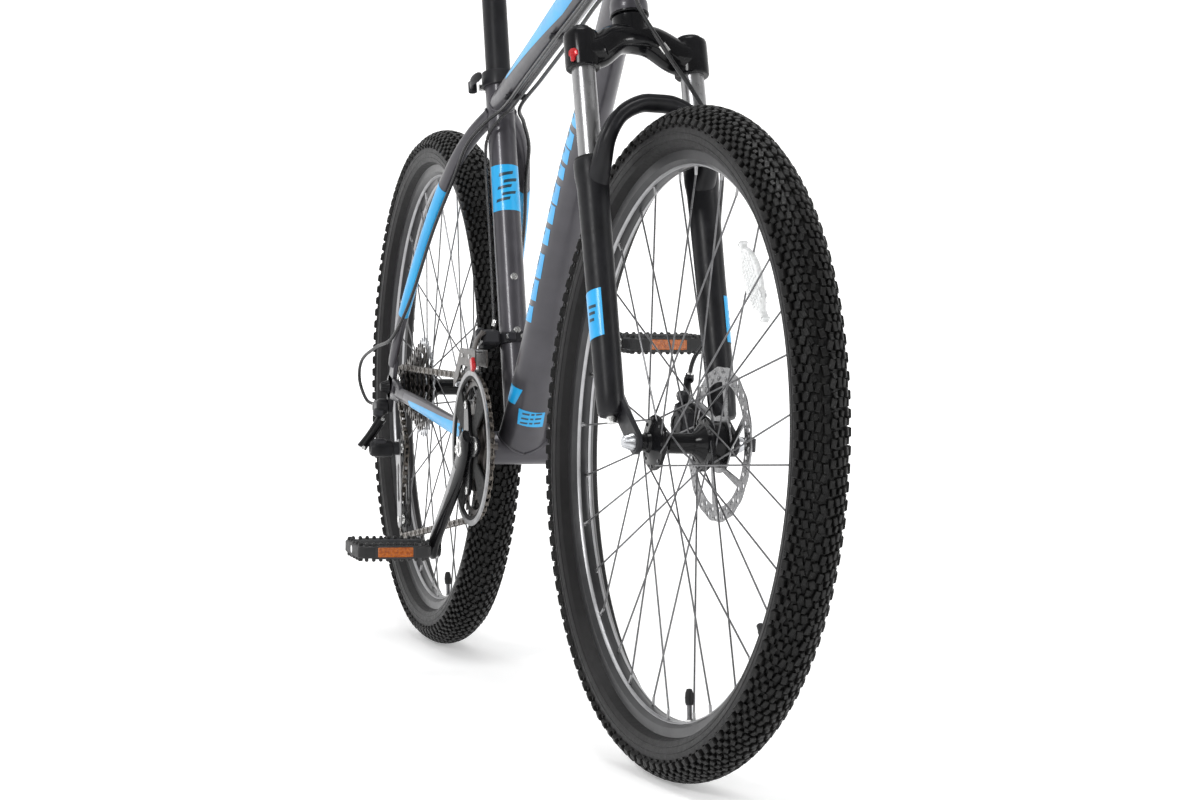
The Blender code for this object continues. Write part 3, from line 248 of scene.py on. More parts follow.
PAD = material("brake_pad_gap", (0.05, 0.045, 0.04), (0.08, 0.07, 0.06), (0.6, 0.8), 0.3, 100)


# Mesh building

# The radius where a turned profile closes
TIP = 0.0001


class Shape:
    """Collects faces for one piece, each with its own material."""

    def __init__(self):
        self.points = []
        self.faces = []
        self.slots = []
        self.materials = []

    def add(self, points, faces, look):
        """Adds faces, numbered from the first of these points."""
        if look not in self.materials:
            self.materials.append(look)
        base = len(self.points)
        self.points += [tuple(point) for point in points]
        self.faces += [tuple(base + i for i in face) for face in faces]
        self.slots += [self.materials.index(look)] * len(faces)

    def loft(self, rings, look, closed=False, caps=True):
        """A skin over rings of equally many points."""
        count = len(rings[0])
        points = [point for ring in rings for point in ring]
        faces = []
        for k in range(len(rings) if closed else len(rings) - 1):
            low, high = k * count, ((k + 1) % len(rings)) * count
            for i in range(count):
                j = (i + 1) % count
                faces.append((low + i, low + j, high + j, high + i))
        if caps and not closed:
            faces.append(tuple(reversed(range(count))))
            faces.append(tuple(range(len(points) - count, len(points))))
        self.add(points, faces, look)

    def tube(self, points, radii, look, sides=12, hint=Y, closed=False, caps=True):
        """A tube along the points, its width measured along the hint."""
        self.loft(sections(points, radii, sides, hint, closed), look, closed, caps)

    def lathe(self, profile, origin, axis, look, steps=32, closed=False, lobes=0, caps=True):
        """Revolves (radius, height) pairs. A third entry of 1 makes that ring a hexagon."""
        axis = axis.normalized()
        side = axis.orthogonal().normalized()
        other = axis.cross(side)
        rings = []
        for entry in profile:
            ring = []
            for k in range(steps):
                angle = 2 * pi * k / steps
                radius = max(entry[0], 1e-5)
                if len(entry) > 2:
                    radius *= cos(pi / 6) / cos((angle % (pi / 3)) - pi / 6)
                if lobes:
                    radius *= 1 + 0.05 * cos(lobes * angle)
                out = side * cos(angle) + other * sin(angle)
                ring.append(origin + out * radius + axis * entry[1])
            rings.append(ring)
        self.loft(rings, look, closed, caps)

    def rod(self, radius, low, high, origin, axis, look, steps):
        """A plain round bar or disc between two heights along its axis."""
        self.lathe([(TIP, low), (radius, low), (radius, high), (TIP, high)], origin, axis, look,
                   steps)

    def block(self, centre, size, axes, look, chamfer=0.0012):
        """A box with all its edges chamfered, along three axes."""
        half = [value / 2 for value in size]
        cut = min(chamfer, min(half) * 0.6)
        rings = []
        for level, inset in ((-half[2], cut), (-half[2] + cut, 0), (half[2] - cut, 0), (half[2], cut)):
            a, b = half[0] - inset, half[1] - inset
            ring = []
            for sx, sy in ((1, 1), (-1, 1), (-1, -1), (1, -1)):
                first = (sx * (a - cut), sy * b) if sx * sy > 0 else (sx * a, sy * (b - cut))
                second = (sx * a, sy * (b - cut)) if sx * sy > 0 else (sx * (a - cut), sy * b)
                for u, v in (second, first):
                    ring.append(centre + axes[0] * u + axes[1] * v + axes[2] * level)
            rings.append(ring)
        self.loft(rings, look)

    def plate(self, outlines, origin, across, up, thick, look, bevel=0.0):
        """A flat plate from an outline and its holes, as (u, v) pairs, centred on its thickness."""
        points, faces = flat_mesh(outlines, thick, bevel)
        normal = across.cross(up)
        moved = [origin + across * p[0] + up * p[1] + normal * p[2] for p in points]
        self.add(moved, faces, look)

    def bolt(self, origin, axis, radius, height, look=NICKEL, socket=True):
        """A domed cap bolt with a hexagon socket, standing on origin."""
        top = [(radius, 0), (radius, height * 0.7), (radius * 0.86, height)]
        if socket:
            top += [(radius * 0.52, height, 1), (radius * 0.50, height * 0.35, 1), (0, height * 0.35)]
        else:
            top += [(0, height * 1.15)]
        self.lathe([(0, 0), *top], origin, axis, look, 18)

    def build(self, name, body=None, smooth=35, turn=False, instead=()):
        """Makes the piece. What was modelled straight ahead is turned with the bars."""
        mesh = bpy.data.meshes.new(name)
        mesh.from_pydata(self.points, [], self.faces)
        if turn:
            mesh.transform(TURN)
        for look in self.materials:
            mesh.materials.append(look)
        mesh.polygons.foreach_set("material_index", self.slots)
        mesh.update()
        fix_normals(mesh)
        mesh.shade_smooth()
        mesh.set_sharp_from_angle(angle=radians(smooth))
        obj = bpy.data.objects.new(name, mesh)
        bpy.context.scene.collection.objects.link(obj)
        if body:
            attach(obj, body)
        if instead:
            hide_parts(*instead)
        return obj


def fix_normals(mesh):
    """Turns all faces outwards."""
    bm = bmesh.new()
    bm.from_mesh(mesh)
    bmesh.ops.recalc_face_normals(bm, faces=bm.faces)
    bm.to_mesh(mesh)
    bm.free()


def sections(points, radii, sides, hint, closed=False):
    """An ellipse round each point of a path: (half width along the hint, half height across it)."""
    rings = []
    last = len(points) - 1
    for i, (point, radius) in enumerate(zip(points, radii)):
        before = points[i - 1] if closed or i else point
        after = points[(i + 1) % len(points)] if closed or i < last else point
        along = (after - before).normalized()
        side = (hint - along * hint.dot(along)).normalized()
        up = along.cross(side)
        wide, high = radius if isinstance(radius, tuple) else (radius, radius)
        turns = [2 * pi * (k + 0.5) / sides for k in range(sides)]
        rings.append([point + side * (wide * cos(a)) + up * (high * sin(a)) for a in turns])
    return rings


def flat_mesh(outlines, thick, bevel):
    """A filled plate of the outlines, holes left open, as points and faces in its own plane."""
    curve = bpy.data.curves.new("flat", "CURVE")
    curve.dimensions = "2D"
    curve.fill_mode = "BOTH"
    curve.extrude = thick / 2 - bevel
    curve.bevel_depth = bevel
    curve.bevel_resolution = 0
    curve.offset = -bevel
    for outline in outlines:
        spline = curve.splines.new("POLY")
        spline.points.add(len(outline) - 1)
        for place, (u, v) in zip(spline.points, outline):
            place.co = (u, v, 0, 1)
        spline.use_cyclic_u = True
    obj = bpy.data.objects.new("flat", curve)
    mesh = bpy.data.meshes.new_from_object(obj)
    points = [vertex.co.copy() for vertex in mesh.vertices]
    faces = [tuple(face.vertices) for face in mesh.polygons]
    bpy.data.objects.remove(obj)
    bpy.data.meshes.remove(mesh)
    bpy.data.curves.remove(curve)
    return points, faces


def polar(centre, radius, angle):
    """A point (u, v) at a radius and an angle from the centre."""
    return centre[0] + radius * cos(angle), centre[1] + radius * sin(angle)


def circle(u, v, radius, count=16):
    return [polar((u, v), radius, 2 * pi * k / count) for k in range(count)]


def both_ways(half):
    """A profile that is the same below and above its middle, from its upper half, ends first."""
    return [(radius, -height) for radius, height in half] + half[::-1]


def smooth_path(points, per_span=6):
    """Points on a Catmull-Rom curve through the route."""
    out = []
    last = len(points) - 1
    for i in range(last):
        a, b = points[max(i - 1, 0)], points[i]
        c, d = points[i + 1], points[min(i + 2, last)]
        for k in range(per_span):
            t = k / per_span
            out.append(0.5 * (2 * b + (c - a) * t + (2 * a - 5 * b + 4 * c - d) * t * t
                              + (3 * b - a - 3 * c + d) * t**3))
    out.append(points[-1])
    return out


def smooth_radii(radii, per_span=6):
    """The matching widths and heights for smooth_path."""
    pairs = [Vector(radius) if isinstance(radius, tuple) else Vector((radius, radius)) for radius in radii]
    return [tuple(pair) for pair in smooth_path(pairs, per_span)]


# Wheels

TREAD_CENTRE = 0.3150
TREAD_HIGH = 0.0255
TREAD_WIDE = 0.0258
PITCHES = 118
CASING_EDGE = 122
CASING_STEPS = 40
TYRE_STEPS = 180
TREAD_RINGS = (10, 31)
RIM_STEPS = 192


def casing_point(lean):
    """(radius, y) on the tyre's casing, lean being the angle from the crown."""
    return TREAD_CENTRE + TREAD_HIGH * cos(lean), TREAD_WIDE * sin(lean)


def add_knob(points, faces, origin, out, along, across, size):
    """One block of the tread: straight walls, a small chamfer and a flat top."""
    length, width, height = size
    base = len(points)
    for level, shrink in ((-0.0008, 1.10), (height * 0.8, 1.0), (height, 0.82)):
        for a, b in ((-1, -1), (1, -1), (1, 1), (-1, 1)):
            points.append(origin + out * level + along * (a * length / 2 * shrink)
                          + across * (b * width / 2 * shrink))
    for ring in (0, 4):
        for i in range(4):
            j = (i + 1) % 4
            faces.append((base + ring + i, base + ring + j, base + ring + 4 + j, base + ring + 4 + i))
    faces.append((base + 8, base + 9, base + 10, base + 11))


def tread_rows():
    """One row for each block of a pitch: (lean in degrees, offset, length, width, height, skew)."""
    rows = []
    for side in (-1, 1):
        start = 0.30 if side > 0 else 0.0
        for lean, offset, length, width, height, skew in (
            (7, 0.00, 0.0090, 0.0056, 0.0036, 12), (12, 0.52, 0.0070, 0.0044, 0.0034, -14),
            (23, 0.10, 0.0088, 0.0050, 0.0037, -10), (29, 0.60, 0.0062, 0.0040, 0.0032, 16),
            (37, 0.16, 0.0084, 0.0052, 0.0038, 10), (46, 0.68, 0.0080, 0.0050, 0.0040, -12),
            (55, 0.22, 0.0072, 0.0050, 0.0036, 6), (66, 0.72, 0.0098, 0.0068, 0.0052, 0),
            (74, 0.22, 0.0050, 0.0036, 0.0020, 0),
        ):
            rows.append((side * lean, start + offset, length, width, height, side * skew))
    return rows


def tyre(name, body, axle, side):
    """The casing with its bead lines, and every block of the tread."""
    shape = Shape()
    casing = [casing_point(radians(CASING_EDGE * (2 * k / CASING_STEPS - 1)))
              for k in range(CASING_STEPS + 1)]
    profile = [(BEAD_R - 0.0005, -0.0112), *casing, (BEAD_R - 0.0005, 0.0112)]
    shape.lathe(profile, axle, side, SIDEWALL, TYRE_STEPS, caps=False)
    shape.materials.append(TREAD)
    for index in range(len(shape.faces)):
        if TREAD_RINGS[0] <= index // TYRE_STEPS <= TREAD_RINGS[1]:
            shape.slots[index] = 1
    for lean in (74, 92, 108):
        for sign in (-1, 1):
            radius, y = casing_point(radians(lean * sign))
            out = Vector((cos(radians(lean)), sin(radians(lean)) * sign))
            ridge = [(radius + out.x * a - out.y * b, y + out.y * a + out.x * b)
                     for a, b in ((-0.0004, -0.0008), (0.0004, -0.0004), (0.0004, 0.0004), (-0.0004, 0.0008))]
            shape.lathe(ridge, axle, side, SIDEWALL, TYRE_STEPS, closed=True)
    ahead = side.cross(Z).normalized()
    up = ahead.cross(side)
    points, faces = [], []
    for lean_deg, offset, length, width, height, skew in tread_rows():
        lean = radians(lean_deg)
        radius, y = casing_point(lean)
        for k in range(PITCHES):
            stray = sin(k * 12.9898 + lean_deg * 7.1)
            angle = 2 * pi * (k + offset + 0.05 * stray) / PITCHES
            spoke = ahead * cos(angle) + up * sin(angle)
            along = up * cos(angle) - ahead * sin(angle)
            out = (spoke * (cos(lean) / TREAD_HIGH) + side * (sin(lean) / TREAD_WIDE)).normalized()
            origin = axle + spoke * radius + side * y
            across = along.cross(out)
            turn = radians(skew + 8 * stray)
            add_knob(points, faces, origin, out, along * cos(turn) + across * sin(turn),
                     across * cos(turn) - along * sin(turn), (length * (1 + 0.10 * stray), width, height))
    shape.add(points, faces, TREAD)
    shape.build(name + "_with_tread", body, 25, instead=[name])


def rim(name, body, axle, side):
    """Box-section rim with a painted highlight on its inner edges, the tyre's bead and the capped valve."""
    shape = Shape()
    half = [(RIM_IN, 0.0055), (RIM_IN + 0.0006, 0.0064), (0.2878, 0.0116), (0.2888, 0.0124), (0.2895, 0.0125),
            (0.2968, 0.0125), (0.2982, 0.0130), (BEAD_R + 0.0012, 0.0124), (BEAD_R + 0.0010, 0.0112),
            (0.2905, 0.0100)]
    profile = [(RIM_IN, -0.0055), (RIM_IN - 0.0006, 0), *half, (0.2898, 0),
               *[(radius, -y) for radius, y in reversed(half[1:])]]
    rings_of(shape, profile, axle, side, RIM, RIM_STEPS)
    # Each inner corner of the rim gets a lighter ring, a painted highlight
    for sign in (-1, 1):
        edge = [(RIM_IN - 0.0004, sign * 0.0046), (RIM_IN - 0.0002, sign * 0.0058), (0.2838, sign * 0.0079),
                (0.2844, sign * 0.0078), (RIM_IN + 0.0008, sign * 0.0050)]
        rings_of(shape, edge if sign > 0 else edge[::-1], axle, side, RIM_EDGE, RIM_STEPS)
        bead = [(0.2978, sign * 0.0126), (0.2986, sign * 0.0137), (0.2998, sign * 0.0156),
                (0.2990, sign * 0.0120)]
        rings_of(shape, bead if sign > 0 else bead[::-1], axle, side, TREAD, RIM_STEPS)
    ahead = side.cross(Z).normalized()
    up = ahead.cross(side)
    lean = radians(10)
    down = ahead * sin(lean) - up * cos(lean)
    shape.lathe([(0.0030, -0.0025), (0.0030, 0.0045), (0.0026, 0.005), (0.0026, 0.0200), (TIP, 0.0200)],
                axle + down * (RIM_IN + 0.001), -down, STEEL, 18)
    shape.lathe([(TIP, 0.0180), (0.0036, 0.0182), (0.0044, 0.0210), (0.0046, 0.0260), (0.0040, 0.0310),
                 (0.0026, 0.0345), (TIP, 0.0350)], axle + down * (RIM_IN + 0.001), -down, PLASTIC, 20)
    shape.lathe([(0, 0), (0.0046, 0), (0.0046, 0.0022), (0, 0.0022)], axle + down * RIM_IN, -down, NICKEL, 6)
    shape.build(name + "_with_valve", body, 28, instead=[name])


def rings_of(shape, profile, origin, axis, look, steps):
    """Revolves a closed profile into a ring."""
    side = axis.cross(Z).normalized()
    up = side.cross(axis)
    rings = []
    for k in range(steps):
        angle = 2 * pi * k / steps
        out = side * cos(angle) + up * sin(angle)
        rings.append([origin + out * r + axis * h for r, h in profile])
    shape.loft(rings, look, closed=True)


def spoke_places(flanges):
    """Every spoke as (number, side sign, hub angle, rim angle, flange offset)."""
    step = 4 * pi / SPOKES
    for sign, flange in zip((1, -1), flanges):
        for number in range(SPOKES // 2):
            base = number * step + (step / 2 if sign > 0 else 0)
            lean = 3 * step if number % 2 else -3 * step
            yield number, sign, base, base + lean, flange


def spokes(name, body, axle, side, flanges):
    """Three-cross spokes with elbows and heads in the flanges, and nipples at the rim."""
    shape = Shape()
    ahead = Vector(X) if side == Y else (X - side * X.dot(side)).normalized()
    up = ahead.cross(side)
    for number, sign, base, tip, flange in spoke_places(flanges):
        def place(radius, angle, y):
            return axle + ahead * (radius * cos(angle)) + up * (radius * sin(angle)) + side * y
        outer = 1 if number % 2 else -1
        elbow = flange + outer * 0.0026 * sign
        head = place(FLANGE_R, base, flange - outer * 0.0024 * sign)
        hole = place(FLANGE_R, base, elbow - outer * 0.0008 * sign)
        foot = place(RIM_IN - 0.009, tip, 0.0026 * sign)
        bend = hole.lerp(foot, 0.010) + side * (outer * 0.0008 * sign)
        shape.tube([head, hole, bend, foot], [0.0010] * 4, STEEL, 7, (foot - hole).cross(side))
        shape.lathe([(0, -0.0012), (0.0018, -0.0008), (0.0018, 0.0002), (0.0010, 0.0008), (0, 0.0008)],
                    head, side * (outer * sign), STEEL, 8)
        rim_point = place(RIM_IN + 0.0005, tip, 0.0030 * sign)
        inward = (foot - rim_point).normalized()
        shape.lathe([(0.0026, 0), (0.0025, 0.0008), (0.0017, 0.0010), (0.0017, 0.0035), (0.0015, 0.0045),
                     (0.0015, 0.0095), (0.0012, 0.0102), (0, 0.0102)], rim_point, inward, NIPPLE, 10)
    shape.build(name + "_laced", body, 40, instead=[name])


def rotor_outlines(radius):
    """The disc's outline, its brake-track holes, the windows between its arms and the hole in its middle."""
    wave = 0.0006
    turns = [2 * pi * k / 180 for k in range(180)]
    outlines = [[polar((0, 0), radius - wave + wave * cos(18 * a), a) for a in turns]]
    for group in range(24):
        start = 2 * pi * group / 24
        for offset, inset, hole in ((0.0, 0.0050, 0.0029), (0.130, 0.0124, 0.0029), (0.052, 0.0118, 0.0016),
                                    (0.182, 0.0052, 0.0016)):
            outlines.append(circle(*polar((0, 0), radius - inset, start + offset), hole, 10))
    arms = 6
    inner, outer = 0.0295, radius - 0.0160
    for arm in range(arms):
        start = 2 * pi * arm / arms
        window = [polar((0, 0), inner, start + 0.13 + (2 * pi / arms - 0.26) * k / 12) for k in range(13)]
        window += [polar((0, 0), outer, start + 0.45 + 2 * pi / arms - 0.07 - (2 * pi / arms - 0.14) * k / 16)
                   for k in range(17)]
        outlines.append(window)
    outlines.append(circle(0, 0, 0.0175, 36))
    return outlines


def flange_edge(y):
    """The rounded rim of a hub flange in the hub's profile."""
    return [(0.0278, y - 0.0019), (0.0284, y - 0.0010), (0.0284, y + 0.0010), (0.0278, y + 0.0019)]


def hub(name, body, axle, side, half, flanges, rotor_y):
    """Hub shell, locknuts and axle ends, and the drilled rotor on its six bolts."""
    shape = Shape()
    left, right = flanges
    end = -half + 0.0006
    profile = [(0.0045, end), (0.0082, end), (0.0086, end + 0.0006), (0.0086, end + 0.005),
               (0.0098, end + 0.006), (0.0108, right - 0.0070), (0.0200, right - 0.0030), *flange_edge(right),
               (0.0200, right + 0.0030),
               (0.0142, right + 0.0080), (0.0108, right + 0.0130), (0.0108, left - 0.0130),
               (0.0142, left - 0.0080), (0.0200, left - 0.0030), *flange_edge(left), (0.0240, left + 0.0030),
               (0.0240, rotor_y - 0.0012),
               (0.0172, rotor_y - 0.0010), (0.0172, rotor_y + 0.0012), (0.0120, rotor_y + 0.0022),
               (0.0100, half - 0.0050), (0.0088, half - 0.0044), (0.0088, half - 0.0010),
               (0.0084, half - 0.0004), (0.0045, half - 0.0004)]
    rings_of(shape, profile, axle, side, GLOSS, 48)
    for sign in (-1, 1):
        shape.lathe([(0.0046, 0), (0.0084, 0), (0.0084, 0.0012), (0.0046, 0.0012)],
                    axle + side * (sign * (half - 0.0012) - (0.0012 if sign < 0 else 0)), side, NICKEL, 24,
                    closed=True)
    ahead = side.cross(Z).normalized()
    up = ahead.cross(side)
    shape.plate(rotor_outlines(ROTOR_R), axle + side * rotor_y, ahead, up, 0.0018, ROTOR, 0.00012)
    turns = [2 * pi * k / 72 for k in range(72)]
    carrier = [[polar((0, 0), 0.0262 + 0.0022 * cos(6 * a), a) for a in turns], circle(0, 0, 0.0176, 36)]
    shape.plate(carrier, axle + side * (rotor_y + 0.0018), ahead, up, 0.0018, SATIN, 0.0003)
    for k in range(6):
        angle = 2 * pi * k / 6
        place = axle + (ahead * cos(angle) + up * sin(angle)) * 0.0222 + side * (rotor_y + 0.0026)
        shape.bolt(place, side, 0.0036, 0.0022)
    shape.build(name + "_with_rotor", body, 30, instead=[name])


def spoke_reflector():
    """The clear lens clipped between two spokes of the front wheel, and a black spoke weight."""
    shape = Shape()
    side = STEER_SIDE
    ahead = (X - side * X.dot(side)).normalized()
    up = ahead.cross(side)
    angle = radians(49)
    out = ahead * cos(angle) + up * sin(angle)
    lean = radians(8)
    long = (side.cross(out) * -cos(lean) + out * sin(lean)).normalized()
    short = long.cross(side).normalized()
    centre = FRONT_AXLE + out * 0.224 + side * 0.002
    outline = []
    for k in range(40):
        a = 2 * pi * k / 40
        wide = 0.0150 + 0.0035 * cos(a) - 0.0025 * cos(2 * a)
        outline.append((0.0400 * cos(a) * (1 + 0.05 * cos(2 * a)), wide * sin(a)))
    shape.plate([outline], centre, long, short, 0.0060, PEARL, 0.0016)
    for row in range(-2, 3):
        for k in range(-6, 7):
            if hypot(k / 7.4, row / 2.9) < 1:
                place = centre + long * (k * 0.0050) + short * (row * 0.0046)
                for face in (-1, 1):
                    shape.block(place + side * (face * 0.0031), (0.0042, 0.0038, 0.0010), (long, short, side),
                                PEARL, 0.0004)
    for sign in (-1, 1):
        for reach, size in ((0.0420, (0.0110, 0.0052, 0.0075)), (0.0475, (0.0040, 0.0075, 0.0090))):
            shape.block(centre + long * (sign * reach), size, (long, short, side), PEARL, 0.0012)
    shape.build("spoke_reflector", "front_wheel", 30)
    weight = Shape()
    turn = radians(-37)
    away = ahead * cos(turn) + up * sin(turn)
    weight.lathe([(TIP, 0), (0.0042, 0), (0.0046, 0.0008), (0.0046, 0.0100), (0.0038, 0.0120),
                  (0.0034, 0.0180),
                  (TIP, 0.0190)], FRONT_AXLE + away * RIM_IN - side * 0.002, -away, PLASTIC, 24)
    weight.build("spoke_weight", "front_wheel", 30)


def wheels():
    for end, axle, side, half, flanges, rotor_y in (
        ("front", FRONT_AXLE, STEER_SIDE, FORK_HUB, FRONT_FLANGES, ROTOR_FRONT_Y),
        ("rear", REAR_AXLE, Y, REAR_HUB, REAR_FLANGES, ROTOR_REAR_Y),
    ):
        body = end + "_wheel"
        tyre(end + "_tyre", body, axle, side)
        rim(end + "_rim", body, axle, side)
        spokes(end + "_spokes", body, axle, side, flanges)
        hub(end + "_hub", body, axle, side, half, flanges, rotor_y)
    spoke_reflector()


# Frame


class Pipe:
    """A smooth tube along a route, whose surface can be asked for a point."""

    def __init__(self, route, radii, hint=Y, per_span=6):
        self.points = smooth_path(route, per_span)
        self.radii = smooth_radii(radii, per_span)
        self.hint = hint

    def surface(self, t, degrees, lift=0.0):
        """The point at t (0 to 1) along and an angle round from the hint, lifted off the surface."""
        place = min(max(t, 0.0), 1.0) * (len(self.points) - 1)
        i = min(int(place), len(self.points) - 2)
        part = place - i
        before, after = self.points[max(i - 1, 0)], self.points[min(i + 2, len(self.points) - 1)]
        low, high = self.points[i], self.points[i + 1]
        along = (high - before).normalized().lerp((after - low).normalized(), part).normalized()
        side = (self.hint - along * self.hint.dot(along)).normalized()
        up = along.cross(side)
        wide = self.radii[i][0] * (1 - part) + self.radii[i + 1][0] * part + lift
        tall = self.radii[i][1] * (1 - part) + self.radii[i + 1][1] * part + lift
        angle = radians(degrees)
        return low.lerp(high, part) + side * (wide * cos(angle)) + up * (tall * sin(angle))

    def skin(self, shape, look, sides=36, caps=True):
        shape.tube(self.points, self.radii, look, sides, self.hint, caps=caps)

    def decal(self, shape, corners, look, lift=0.00025, steps=10):
        """A thin patch over the surface between four (t, degrees) corners, in order round it."""
        points, faces = [], []
        a, b, c, d = [Vector(corner) for corner in corners]
        for i in range(steps + 1):
            for j in range(steps + 1):
                u, v = i / steps, j / steps
                t, angle = a.lerp(b, u).lerp(d.lerp(c, u), v)
                points.append(self.surface(t, angle, lift))
        for i in range(steps):
            for j in range(steps):
                k = i * (steps + 1) + j
                faces.append((k, k + 1, k + steps + 2, k + steps + 1))
        shape.add(points, faces, look)

    def weld(self, shape, origin, axis, radius, look, forward=True, size=0.0019):
        """A rippled bead where this tube leaves a round one."""
        bead = []
        for k in range(48):
            order = range(241) if forward else range(240, -1, -1)
            found = None
            for step in order:
                point = self.surface(step / 240, 7.5 * k)
                off = point - origin
                if (off - axis * off.dot(axis)).length > radius:
                    found = point
                    break
            bead.append(found or self.surface(1 if forward else 0, 7.5 * k))
        smooth = []
        for k, point in enumerate(bead):
            smooth.append((point * 2 + bead[k - 1] + bead[(k + 1) % 48]) / 4)
        fine = []
        for k, point in enumerate(smooth):
            fine += [point, point.lerp(smooth[(k + 1) % 48], 0.5)]
        shape.tube(fine, [size * (1.0 if k % 2 else 0.80) for k in range(96)], look, 8, axis, closed=True)


def capsule(start, end, start_r, end_r, steps=9):
    """The outline round two circles, as (u, v) pairs."""
    along = Vector((end[0] - start[0], end[1] - start[1]))
    heading = atan2(along.y, along.x)
    lean = acos((start_r - end_r) / along.length)
    outline = []
    for centre, radius, first, last in ((end, end_r, -lean, lean), (start, start_r, lean, 2 * pi - lean)):
        for k in range(steps + 1):
            angle = heading + first + (last - first) * k / steps
            outline.append(polar(centre, radius, angle))
    return outline


def upright(shape, outlines, low, high, look, bevel=0.0004):
    """A plate in the XZ plane from y = low to y = high, its outlines given as (x, z)."""
    origin = Vector((0, (low + high) / 2, 0))
    flipped = [[(x, -z) for x, z in outline] for outline in outlines]
    shape.plate(flipped, origin, X, -Z, high - low, look, bevel)


TOP_PIPE = Pipe([head_point(HEAD_TOP - 0.024).lerp(seat_point(0.437), t) for t in (0, 0.25, 0.6, 1)],
                [(0.0165, 0.021), (0.0185, 0.020), (0.017, 0.017), (0.0155, 0.015)], per_span=12)
DOWN_TOP = head_point(HEAD_LOW + 0.040)
DOWN_PIPE = Pipe([DOWN_TOP, DOWN_TOP.lerp(BB, 0.2) + Vector((-0.004, 0, 0.003)),
                  DOWN_TOP.lerp(BB, 0.45) + Vector((-0.010, 0, 0.008)), DOWN_TOP.lerp(BB, 0.8), BB.copy()],
                 [(0.0175, 0.027), (0.019, 0.028), (0.0225, 0.026), (0.027, 0.022), (0.031, 0.0185)],
                 per_span=12)
SEAT_PIPE = Pipe([seat_point(0), seat_point(0.16), seat_point(0.32), seat_point(SEAT_TUBE_TOP)],
                 [SEAT_TUBE_R] * 4, per_span=12)


def stay_pipe(route, radii, side):
    return Pipe([spot(x, side * y, z) for x, y, z in route], radii, per_span=8)


def chainstay_pipe(side):
    route = [(-0.1156, 0.027, 0.2926), (-0.165, 0.0335, 0.3000), (-0.200, 0.0415, 0.3045),
             (-0.270, 0.050, 0.3120), (-0.360, 0.058, 0.3235), (-0.440, 0.0655, 0.3330),
             (-0.488, 0.0705, 0.3380)]
    return stay_pipe(route, [(0.0075, 0.012), (0.0062, 0.012), (0.0072, 0.012), (0.008, 0.011),
                             (0.008, 0.010), (0.0075, 0.009), (0.006, 0.008)], side)


def seatstay_pipe(side):
    route = [(-0.242, 0.010, 0.700), (-0.264, 0.030, 0.673), (-0.300, 0.047, 0.632), (-0.360, 0.060, 0.563),
             (-0.440, 0.0700, 0.468), (-0.500, 0.0740, 0.395), (-0.516, 0.0745, 0.375)]
    return stay_pipe(route, [(0.011, 0.009), (0.010, 0.009), (0.008, 0.010), (0.0075, 0.010), (0.007, 0.009),
                             (0.006, 0.008), (0.005, 0.007)], side)


def head_tube():
    """The head tube, thicker at both ends, and the headset's cups."""
    shape = Shape()
    foot = HEAD_LOW - 0.0060
    profile = [(0.0165, foot), (0.0202, foot), (0.0206, foot + 0.0006), (0.0206, HEAD_LOW + 0.0070),
               (0.0203, HEAD_LOW + 0.0085), (0.0192, HEAD_LOW + 0.0125), (HEAD_TUBE_R, HEAD_LOW + 0.0150),
               (HEAD_TUBE_R, HEAD_TOP - 0.0150), (0.0192, HEAD_TOP - 0.0120), (0.0201, HEAD_TOP - 0.0080),
               (0.0203, HEAD_TOP - 0.0060), (0.0203, HEAD_TOP - 0.0006), (0.0199, HEAD_TOP),
               (0.0165, HEAD_TOP)]
    rings_of(shape, profile, HEAD_FOOT, HEAD_AXIS, PAINT, 64)
    for low in (foot - 0.0002, HEAD_TOP):
        cup = [(0.0150, low), (0.0209, low), (0.0212, low + 0.0005), (0.0212, low + 0.0020),
               (0.0206, low + 0.0026), (0.0150, low + 0.0026)]
        rings_of(shape, cup, HEAD_FOOT, HEAD_AXIS, GLOSS, 64)
    shape.build("head_tube_with_cups", "frame", instead=["head_tube"])


def top_tube():
    """The tapering top tube with its welds, long decals and cable stops."""
    shape = Shape()
    TOP_PIPE.skin(shape, PAINT, 40)
    TOP_PIPE.weld(shape, HEAD_FOOT, HEAD_AXIS, HEAD_TUBE_R, PAINT)
    TOP_PIPE.weld(shape, BB, SEAT_AXIS, SEAT_TUBE_R, PAINT, forward=False)
    for side, sign in ((180, 1), (0, -1)):
        TOP_PIPE.decal(shape, [(0.08, side - sign * 40), (0.46, side - sign * 44), (0.46, side + sign * 34),
                               (0.08, side + sign * 40)], CYAN, steps=16)
        TOP_PIPE.decal(shape, [(0.46, side - sign * 44), (0.84, side + sign * 2), (0.84, side + sign * 14),
                               (0.46, side + sign * 34)], CYAN, steps=16)
    along = (TOP_PIPE.points[-1] - TOP_PIPE.points[0]).normalized()
    for t in (0.20, 0.55, 0.86):
        shape.block(TOP_PIPE.surface(t, 90, 0.0006), (0.014, 0.030, 0.0035), (along, Y, along.cross(Y)),
                    SATIN, 0.001)
    shape.build("top_tube_welded", "frame", instead=["top_tube"])


